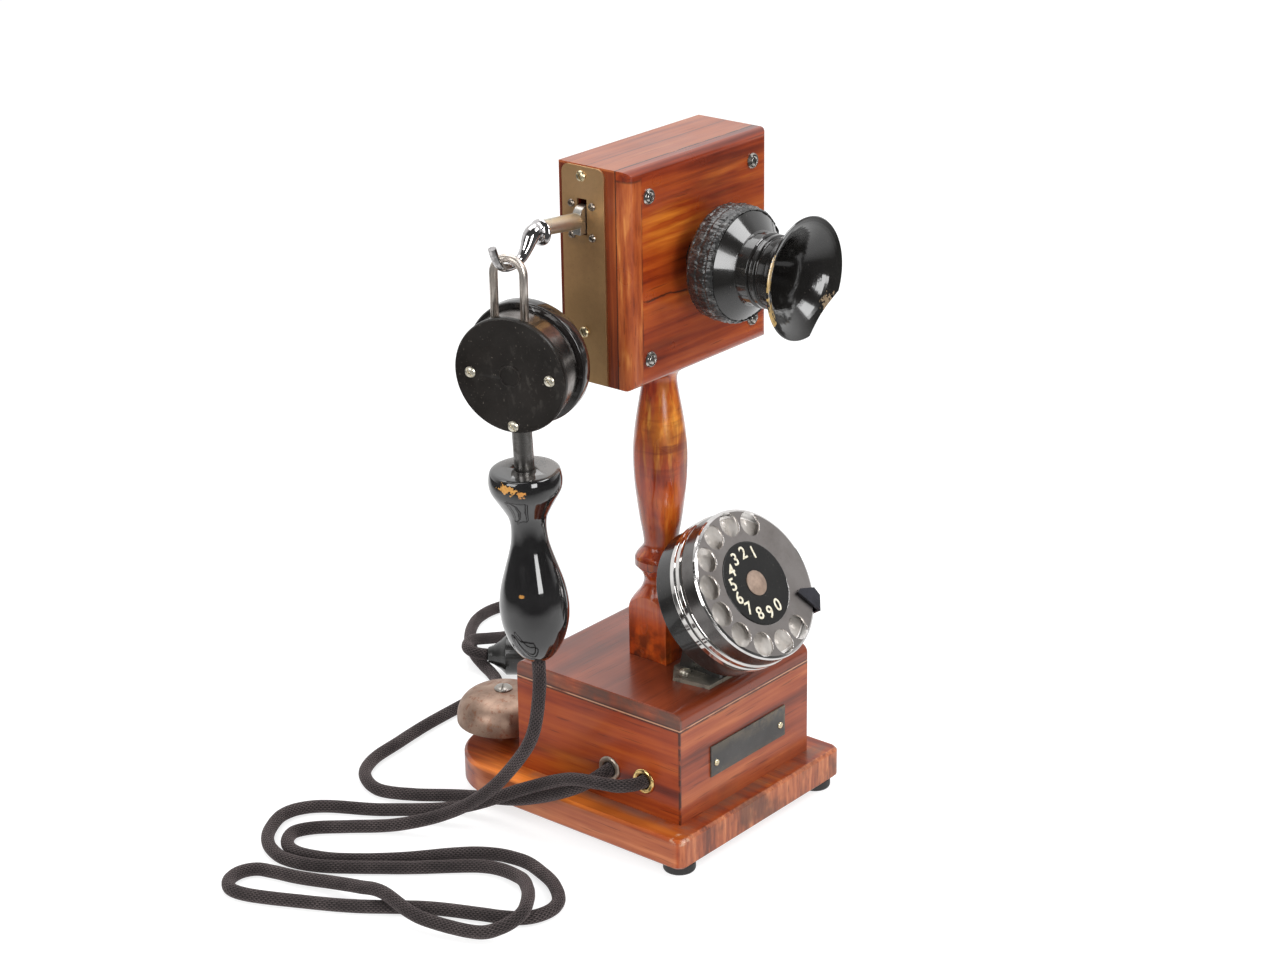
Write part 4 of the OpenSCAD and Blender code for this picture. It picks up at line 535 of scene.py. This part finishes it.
black("number_enamel", (0.004, 0.0038, 0.0035), (0.2, 0.3), 0.2, dust=0.2, shine=0.3)
metal("cap_brown", (0.36, 0.26, 0.2), (0.22, 0.155, 0.12), (0.45, 0.55), 0.6, 300, shine=0.3)
metal("stop_steel", (0.085, 0.085, 0.1), (0.05, 0.05, 0.055), (0.2, 0.35), 0.4, 200)
braid("cord_braid")
black("plug_black", (0.009, 0.0085, 0.008), (0.2, 0.34), 0.3, dust=0.3)

# Paints for some faces of a piece, or for pieces that differ from others of their slot
metal("bright_rim", (0.82, 0.8, 0.79), (0.6, 0.58, 0.56), (0.07, 0.13), 0.25, 90, grit=0.0015)
# A darker copy of the wheel's nickel for its skirt: painted shade.
metal("skirt_painted_shade", (0.2, 0.19, 0.185), (0.12, 0.11, 0.105), (0.2, 0.34), 0.4, 60, brushed=(900, 200, 200))
# Near white and not metallic, for the skirt's inside and the dish's wall: painted light in place of their
# reflections.
metal("wall_painted_light", (0.95, 0.93, 0.91), (0.82, 0.8, 0.78), (0.3, 0.4), 0.1, 90, shine=0.0, grit=0.0)
metal("pale_dish", (0.7, 0.66, 0.62), (0.5, 0.46, 0.42), (0.12, 0.3), 0.6, 120, shine=0.45, grit=0.02)
metal("dark_screw", (0.34, 0.29, 0.24), (0.14, 0.11, 0.085), (0.24, 0.4), 0.5)
metal("pale_screw", (0.9, 0.85, 0.72), (0.6, 0.54, 0.42), (0.3, 0.45), 0.4)

for name, node in NODES.items():
    node.data.materials.clear()
    node.data.materials.append(PAINTS[SLOT[name]])


# ---- Cords

def curve_at(points, u):
    """The smooth curve through the points, at u counted from the first."""
    last = len(points) - 1
    i = min(int(u), last - 1)
    t = u - i
    a, b, c, d = points[max(i - 1, 0)], points[i], points[i + 1], points[min(i + 2, last)]
    return 0.5 * (2 * b + (c - a) * t + (2 * a - 5 * b + 4 * c - d) * t * t
                  + (3 * b - a - 3 * c + d) * t ** 3)


def even_path(points, step, parts=30):
    """Points a step apart on the smooth curve through the route, and the curve's length."""
    fine = [curve_at(points, k / parts) for k in range(parts * (len(points) - 1) + 1)]
    run = [0.0]
    for a, b in zip(fine, fine[1:]):
        run.append(run[-1] + (b - a).length)
    count = round(run[-1] / step)
    path, i = [], 0
    for k in range(count + 1):
        want = run[-1] * k / count
        while i < len(run) - 2 and run[i + 1] < want:
            i += 1
        t = (want - run[i]) / (run[i + 1] - run[i])
        path.append(fine[i].lerp(fine[i + 1], min(t, 1)))
    return path, run[-1]


def cord_mesh(name, path, radius, sides=20):
    """A tube with three strands showing faintly through its braid."""
    strands, twist = 3, 95
    last = len(path) - 1
    lengthwise = [(path[min(i + 1, last)] - path[max(i - 1, 0)]).normalized() for i in range(len(path))]
    side = Vector((1, 0, 0)) if abs(lengthwise[0].z) > 0.9 else Vector((0, 0, 1))
    verts, run, along = [], 0.0, []
    for i, (p, t) in enumerate(zip(path, lengthwise)):
        side = (side - t * side.dot(t)).normalized()
        other = t.cross(side)
        if i:
            run += (p - path[i - 1]).length
        along.append(run)
        for k in range(sides):
            a = math.tau * (k + 0.5) / sides
            uneven = 0.012 * noise.noise(p * 160 + Vector((k, 0, 0)))
            r = radius * (0.985 + 0.025 * math.cos(strands * a + run * twist) + uneven)
            verts.append(p + r * (math.cos(a) * side + math.sin(a) * other))
    faces = []
    for i in range(last):
        ring, following = i * sides, (i + 1) * sides
        for k in range(sides):
            beside = (k + 1) % sides
            faces.append((ring + k, ring + beside, following + beside, following + k))
    faces += [tuple(reversed(range(sides))), tuple(range(last * sides, (last + 1) * sides))]
    mesh = bpy.data.meshes.new(name)
    mesh.from_pydata([tuple(v) for v in verts], [], faces)
    chart = mesh.uv_layers.new(name="cord")
    girth = math.tau * radius
    for face in mesh.polygons[:-2]:
        i, k = divmod(face.index, sides)
        for n, loop in enumerate(face.loop_indices):
            chart.data[loop].uv = ((k + (n in (1, 2))) / sides, along[i + (n > 1)] / girth)
        face.use_smooth = True
    return link(name, mesh)


# The routes in the source's millimetres. LOW is the height of a cord that lies on the table.
LOW = 3.5
RECEIVER_ROUTE = [
    (-89.2, 1.3, 107.6), (-89, 1.6, 90), (-90, 7, 64), (-93, 22, 41), (-96, 39, 24), (-101, 57, 12),
    (-112, 77, 5), (-126, 96, LOW), (-137, 108, LOW), (-146.5, 113, LOW), (-155, 108.5, LOW),
    (-159.6, 99.5, LOW), (-158, 89, LOW), (-151, 75, LOW), (-134, 54, LOW), (-107, 29, LOW),
    (-99, 8, LOW), (-103, -11, LOW), (-109, -23, LOW), (-118, -32.5, LOW), (-128, -34.8, LOW),
    (-138, -30.5, LOW), (-144, -21.5, LOW), (-149.5, -9, LOW), (-160, 12, LOW), (-180, 41, LOW),
    (-194, 67, LOW), (-202, 85, LOW), (-203.5, 96, LOW), (-198.5, 102.8, LOW), (-190, 104.4, LOW),
    (-182.8, 100.4, LOW), (-179.5, 92, LOW), (-176.5, 78, 4), (-172, 62, 5), (-170, 45, 7.6),
    (-170.5, 29, 10.6), (-172, 4, 7), (-164, -22, 5), (-156.5, -32, 7.6), (-146, -34.5, 10.4),
    (-136, -29.5, 10.8), (-122, -17, 7), (-113, -3, 4.4), (-115, 18, LOW), (-140, 48, LOW),
    (-161, 77, LOW), (-167.3, 96, LOW), (-165, 109, LOW), (-158, 119, LOW), (-148.5, 126, LOW),
    (-138, 130, LOW), (-127.5, 128, LOW), (-117, 118.5, LOW), (-103, 93, 4.2), (-87, 58, 10.4),
    (-74.5, 26, 25.5), (-70, 3, 36), (-67.3, -14, 38.6), (-63.4, -24.4, 38.5), (-54.5, -28.6, 37.5),
    (-46, -28.8, 37.2),
]
LINE_ROUTE = [
    (-46, -7.5, 37.2), (-54, -7.2, 36.6), (-61.5, -3.5, 33.2), (-66.5, 6, 27.5), (-69.5, 20, 21),
    (-71, 35, 15.5), (-72.5, 50, 12), (-77, 70, 8.5), (-84, 92, 5), (-89, 112, LOW), (-82, 128, LOW),
    (-67, 137, LOW), (-45, 140, LOW), (-20, 143, LOW), (5, 144, LOW), (27, 144, LOW), (39, 148, LOW),
    (45.5, 157, LOW), (52, 170, LOW), (60, 184, LOW), (73, 199, LOW), (90, 211, LOW), (103, 215, LOW),
    (115, 214, LOW), (125.6, 209.2, LOW), (130, 198.5, LOW), (126, 188, LOW), (115, 183.4, LOW),
    (102, 183, LOW), (88, 184, LOW), (75, 185, 6.6), (61, 185.2, 10.4), (51.8, 181, 11.2),
    (48.2, 172.2, 11.3), (50.8, 164.4, 11.2),
]
CORD_D = 0.0065
CORD_STEP = 0.0015
cords = []
for name, route in (("receiver_cord", RECEIVER_ROUTE), ("line_cord", LINE_ROUTE)):
    path, length = even_path([at(*p) for p in route], CORD_STEP)
    piece = cord_mesh(name + "_braided", path, CORD_D / 2)
    piece.data.materials.append(PAINTS["cord_braid"])
    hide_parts(name)
    cords.append((piece, path, length))
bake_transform(cords[0][0])
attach(cords[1][0], "stand")


# ---- Pieces that take a node's place, with smooth faces and rounded edges

SAME_PLACE = 2e-6
FLAT_ANGLE = math.radians(0.3)
FINE_EDGE = 0.00018  # roundings of turned and small pieces, in metres
THIN_EDGE = 0.0002   # and of sheet metal


def clean_mesh(name, node):
    mesh = bpy.data.meshes.new(name)
    work = bmesh.new()
    work.from_mesh(NODES[node].data)
    bmesh.ops.remove_doubles(work, verts=work.verts, dist=SAME_PLACE)
    bmesh.ops.dissolve_limit(work, angle_limit=FLAT_ANGLE, verts=work.verts, edges=work.edges)
    finish_mesh(work, mesh)
    return mesh


def round_edges(mesh, width, angle):
    work = bmesh.new()
    work.from_mesh(mesh)
    sharp = [edge for edge in work.edges if edge.calc_face_angle(0) > angle]
    bmesh.ops.bevel(work, geom=sharp, offset=width, segments=2, affect="EDGES", profile=0.5,
                    clamp_overlap=True)
    finish_mesh(work, mesh)


def finish_mesh(work, mesh):
    for face in work.faces:
        face.smooth = True
    work.to_mesh(mesh)
    work.free()


def out_from(place, centre, axis):
    """The part of the way from centre to place that is square to the axis."""
    away = place - centre
    return away - axis * away.dot(axis)


def turned_normals(mesh, centre, axis):
    """Exact normals on the faces of a turned shape, however it is divided; its other faces keep theirs."""
    normals = [Vector(corner.vector) for corner in mesh.corner_normals]
    for face in mesh.polygons:
        out = out_from(face.center, centre, axis).normalized()
        lengthwise, outward = face.normal.dot(axis), face.normal.dot(out)
        if lengthwise ** 2 + outward ** 2 < 0.99:
            continue
        for loop in face.loop_indices:
            corner = mesh.vertices[mesh.loops[loop].vertex_index].co
            out = out_from(corner, centre, axis).normalized()
            normals[loop] = (axis * lengthwise + out * outward).normalized()
    mesh.normals_split_custom_set(normals)


def dress(node, bevel=0.00025, angle=32, paint=None, pick=None, others=(), turned=None):
    """A piece of the node's own shape, with its small edges rounded. pick chooses another paint by face,
    and turned gives the centre and axis of a turned piece."""
    angle = math.radians(angle)
    mesh = clean_mesh(node + "_finished", node)
    if turned:
        round_edges(mesh, bevel, angle)
    for used in (paint or SLOT[node], *others):
        mesh.materials.append(PAINTS[used])
    if pick:
        for face in mesh.polygons:
            face.material_index = pick(face.center, face.normal)
    mesh.set_sharp_from_angle(angle=angle)
    if turned:
        turned_normals(mesh, *turned)
    piece = link(node + "_finished", mesh)
    if bevel and not turned:
        soft = piece.modifiers.new("edges", "BEVEL")
        soft.width = bevel
        soft.segments = 2
        soft.limit_method = "ANGLE"
        soft.angle_limit = angle
        soft.harden_normals = True
    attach(piece, NODES[node]["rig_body"])
    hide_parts(node)
    return piece


DIAL_OUT = Vector((0, -0.824126, 0.566406))
DIAL_UP = Vector((0, 0.566406, 0.824126))
DIAL_AT = at(0, -57.3, 130.1)
DIAL = (DIAL_AT, DIAL_OUT)
FACE_R = 0.0362  # outside the wheel's flat face and the ring's dish
RIM_R = 0.0355   # outside the finger holes, inside the skirt
DISH_R = 0.0325  # inside the dish's wall

CUP_BACK = -37.1
CUP_HEIGHT = 285.0
CUP = (at(0, 0, CUP_HEIGHT), Vector((0, -1, 0)))


def on_dial(x, up, out):
    """A place on the dial, in millimetres from its middle."""
    return DIAL_AT + (Vector((1, 0, 0)) * x + DIAL_UP * up + DIAL_OUT * out) / 1000


def wheel_part(centre, normal):
    """0 the face, 1 the rim and the holes' walls, 2 the skirt, 3 the skirt's inside."""
    flat = out_from(centre, *DIAL).length
    if normal.dot(DIAL_OUT) > 0.98 and flat < FACE_R:
        return 0
    if abs(normal.dot(DIAL_OUT)) < 0.1 and flat > RIM_R:
        return 2 if normal.dot(centre - DIAL_AT) > 0 else 3
    return 1


def ring_part(centre, normal):
    """0 the ring, 1 the dish, 2 the dish's wall."""
    flat = out_from(centre, *DIAL).length
    if flat > FACE_R:
        return 0
    return 2 if flat > DISH_R and normal.dot(DIAL_OUT) < 0.95 else 1


def plate_screw_part(centre, normal):
    """The four small screws round the lever are darker than the two large ones."""
    return 1 if at(0, 0, 290).z < centre.z < at(0, 0, 321).z else 0


dress("base_plate", 0.0008)
dress("base_box", 0.0006)
dress("base_lid", 0.0005)
dress("column", 0.0006, 34)
dress("head_case", 0.0006)
dress("front_panel", 0.0005)
for node in ("nameplate", "left_gong", "right_gong", "switch_plate", "dial_bracket", "finger_stop"):
    dress(node, THIN_EDGE)
for node in ("rubber_feet", "front_grommet", "rear_grommet", "gong_screws", "panel_screws",
             "hook_lever", "lever_sleeve", "transmitter_stem",
             "receiver_cover", "receiver_case", "ear_cap", "neck_tube",
             "number_plate", "centre_cap", "nameplate_screws"):
    dress(node, FINE_EDGE)
dress("receiver_screws", FINE_EDGE, paint="pale_screw")
dress("bracket_screws", FINE_EDGE, paint="pale_screw")
dress("plate_screws", FINE_EDGE, pick=plate_screw_part, others=("dark_screw",))
# The dish's wall gets painted light.
dress("dial_ring", FINE_EDGE, pick=ring_part, others=("pale_dish", "wall_painted_light"), turned=DIAL)
dress("dial_case", FINE_EDGE, turned=DIAL)
for node in ("hook", "bail", "gong_posts"):
    dress(node, 0, 60)
dress("handle", 0, 50)
# The wheel's skirt gets painted shade, and the skirt's inside painted light.
dress("finger_wheel", FINE_EDGE, pick=wheel_part, others=("bright_rim", "skirt_painted_shade", "wall_painted_light"),
      turned=DIAL)
for node in ("transmitter_cup", "horn"):
    dress(node, FINE_EDGE, turned=CUP)


# The tape's outside and inside: radius, and place along the axis from the cup's back, in millimetres
TAPE_OUTER = [(25.6, 0.1), (26.7, 1.4), (27.2, 5.0), (27.3, 9.0), (27.1, 12.0), (26.5, 14.2), (25.9, 15.2)]
TAPE_INNER = [(25.0, 0.4), (25.6, 1.4), (26.2, 6.5), (26.2, 11.7), (25.6, 13.8), (25.2, 14.7)]
TAPE_WIND = 4.6
TAPE_RAGGED = 0.75  # from this share of its width on, the front edge is ragged


def tape_mesh(name, outer, inner, around=420, across=44):
    """Tape wound round the cup: a closed band with creases across its turns and a ragged front edge."""
    verts = []
    for k in range(around):
        turn = math.tau * k / around
        out = Vector((math.cos(turn), 0, math.sin(turn)))
        rim = 0.75 * noise.noise(out * 5.5) + 0.5 * noise.noise(out * 17)
        profile = []
        for j in range(across + 1):
            share = j / across
            u = share * (len(outer) - 1)
            i = min(int(u), len(outer) - 2)
            r = outer[i][0] + (outer[i + 1][0] - outer[i][0]) * (u - i)
            d = outer[i][1] + (outer[i + 1][1] - outer[i][1]) * (u - i)
            band = (d + turn / math.tau * TAPE_WIND) / TAPE_WIND
            crease = noise.noise(Vector((out.x * 25, out.z * 25, d * 0.2 + int(band) * 7)))
            fine = noise.noise(Vector((out.x * 50, out.z * 50, d * 0.9)))
            lap = math.exp(-((band - round(band)) / 0.07) ** 2)
            r += 0.5 * crease + 0.14 * fine - 0.3 * lap - 0.15
            d += rim * max(0.0, share - TAPE_RAGGED) * 4
            profile.append((r, d))
        profile += reversed(inner)
        verts += [tuple(at(out.x * r, CUP_BACK - d, CUP_HEIGHT + out.z * r)) for r, d in profile]
    size = across + 1 + len(inner)
    faces = []
    for k in range(around):
        ring, following = k * size, (k + 1) % around * size
        for j in range(size):
            beside = (j + 1) % size
            faces.append((ring + j, ring + beside, following + beside, following + j))
    mesh = bpy.data.meshes.new(name)
    mesh.from_pydata(verts, [], faces)
    for face in mesh.polygons:
        face.use_smooth = True
    mesh.materials.append(PAINTS["tape_black"])
    return link(name, mesh)


wound = tape_mesh("binding_tape_wound", TAPE_OUTER, TAPE_INNER)
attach(wound, "stand")
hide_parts("binding_tape")
plug = dress("line_plug", 0.0003)
pins = dress("plug_pins", THIN_EDGE)


# ---- Digits on the number plate, anticlockwise from 1

DIGIT_RING = 15.3
DIGIT_LIFT = 0.36
FIRST_DIGIT = 60.4
DIGIT_STEP = 26

enamel = Paint("digit_cream")
cream = enamel.ramp(enamel.noise(enamel.object_space, 500, 4),
                    [(0.35, (0.5, 0.45, 0.33)), (0.6, (0.8, 0.76, 0.62))])
enamel.surface(cream, 0.4)
for i, digit in enumerate("1234567890"):
    turn = math.radians(FIRST_DIGIT + DIGIT_STEP * i)
    words = bpy.data.curves.new("digit_" + digit, "FONT")
    words.body = digit
    words.size = 0.0086
    words.align_x = "CENTER"
    words.align_y = "CENTER"
    words.extrude = 0.00004
    words.offset = 0.00012
    words.materials.append(enamel.material)
    mark = link("digit_" + digit, words)
    spot = on_dial(DIGIT_RING * math.cos(turn), DIGIT_RING * math.sin(turn), DIGIT_LIFT)
    mark.matrix_world = Matrix.Translation(spot) @ turned_to(Vector((1, 0, 0)), DIAL_UP, DIAL_OUT)
    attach(mark, "dial_wheel")


# ---- Floor, backdrop and light

WHITE = (1, 1, 1, 1)
AWAY = (0.768, 0.640, 0)    # level, from the camera
ASIDE = (0.640, -0.768, 0)  # level, to the camera's right
FLOOR_HALF = 4.0


def grey(value):
    return (value, value, value, 1)


def stage_paint():
    """White where the camera sees it. In reflections the sweep is white behind the object and dark
    where a real one ends, in front and at the sides."""
    p = Paint("pale_floor")
    white = p.node("BsdfDiffuse", {"Color": grey(0.8)})
    glow = p.node("Emission", {"Color": WHITE, "Strength": 0.72})
    thin = p.node("BsdfDiffuse", {"Color": grey(0.42)})
    both = p.node("AddShader", {0: glow.outputs[0], 1: thin.outputs[0]})
    back = p.vector("DOT_PRODUCT", p.object_space, AWAY)
    side = p.vector("DOT_PRODUCT", p.object_space, ASIDE)
    beside = p.math("ABSOLUTE", side)
    widening = p.math("MULTIPLY", p.math("MAXIMUM", back, 0.0), 0.35)
    reach = p.math("SUBTRACT", beside, widening)
    lit = p.math("MULTIPLY", p.band(reach, 0.62, 0.36), p.band(back, -0.5, -0.2))
    shine = p.node("Emission", {"Color": WHITE, "Strength": p.band(lit, 0, 1, 0.1, 0.95)})
    rays = p.node("LightPath").outputs
    inner = p.node("MixShader", {0: rays["Is Glossy Ray"], 1: white.outputs[0], 2: shine.outputs[0]})
    outer = p.node("MixShader", {0: rays["Is Camera Ray"], 1: inner.outputs[0], 2: both.outputs[0]})
    p.links.new(outer.outputs[0], p.out.inputs[0])
    return p.material


floor_mesh = bpy.data.meshes.new("floor")
corners = [(x * FLOOR_HALF, y * FLOOR_HALF, 0) for x, y in ((-1, -1), (1, -1), (1, 1), (-1, 1))]
floor_mesh.from_pydata(corners, [], [(0, 1, 2, 3)])
floor_mesh.materials.append(stage_paint())
floor = link("floor", floor_mesh)


def softbox(name, place, aim, width, height, power):
    data = bpy.data.lights.new(name, "AREA")
    data.shape = "RECTANGLE"
    data.size = width
    data.size_y = height
    data.energy = power
    box = link(name, data)
    box.location = place
    box.rotation_euler = (Vector(aim) - Vector(place)).to_track_quat("-Z", "Y").to_euler()


softbox("window", (-0.66, -1.5, 0.62), (-0.05, 0, 0.22), 0.5, 0.9, 12)
softbox("right", (0.55, -1.3, 1.75), (0, 0, 0.15), 0.9, 0.9, 21)
softbox("fill", (-1.7, 0.1, 0.9), (0, 0, 0.15), 0.9, 1.2, 17)
softbox("top", (0.2, 0.5, 1.9), (0, 0, 0.1), 1.4, 1.4, 17)

# The world: plain light, in reflections brighter behind the object than in front, white to the camera
world = bpy.data.worlds.new("studio")
SCENE.world = world
world.use_nodes = True
sky = world.node_tree
sky.nodes.clear()
way = sky.nodes.new("ShaderNodeTexCoord")
facing = sky.nodes.new("ShaderNodeVectorMath")
facing.operation = "DOT_PRODUCT"
facing.inputs[1].default_value = AWAY
sky.links.new(way.outputs["Generated"], facing.inputs[0])
slope = sky.nodes.new("ShaderNodeMapRange")
for key, value in (("From Min", -0.15), ("From Max", 0.35), ("To Min", 0.07), ("To Max", 0.95)):
    slope.inputs[key].default_value = value
sky.links.new(facing.outputs["Value"], slope.inputs["Value"])
rays = sky.nodes.new("ShaderNodeLightPath").outputs
backgrounds = []
for strength in (0.5, slope.outputs["Result"], 1.0):
    background = sky.nodes.new("ShaderNodeBackground")
    background.inputs[0].default_value = WHITE
    if isinstance(strength, float):
        background.inputs[1].default_value = strength
    else:
        sky.links.new(strength, background.inputs[1])
    backgrounds.append(background.outputs[0])
shown, in_glossy, to_camera = backgrounds
for ray, background in (("Is Glossy Ray", in_glossy), ("Is Camera Ray", to_camera)):
    choice = sky.nodes.new("ShaderNodeMixShader")
    sky.links.new(rays[ray], choice.inputs[0])
    sky.links.new(shown, choice.inputs[1])
    sky.links.new(background, choice.inputs[2])
    shown = choice.outputs[0]
out = sky.nodes.new("ShaderNodeOutputWorld")
sky.links.new(shown, out.inputs[0])

SCENE.view_settings.view_transform = "Standard"
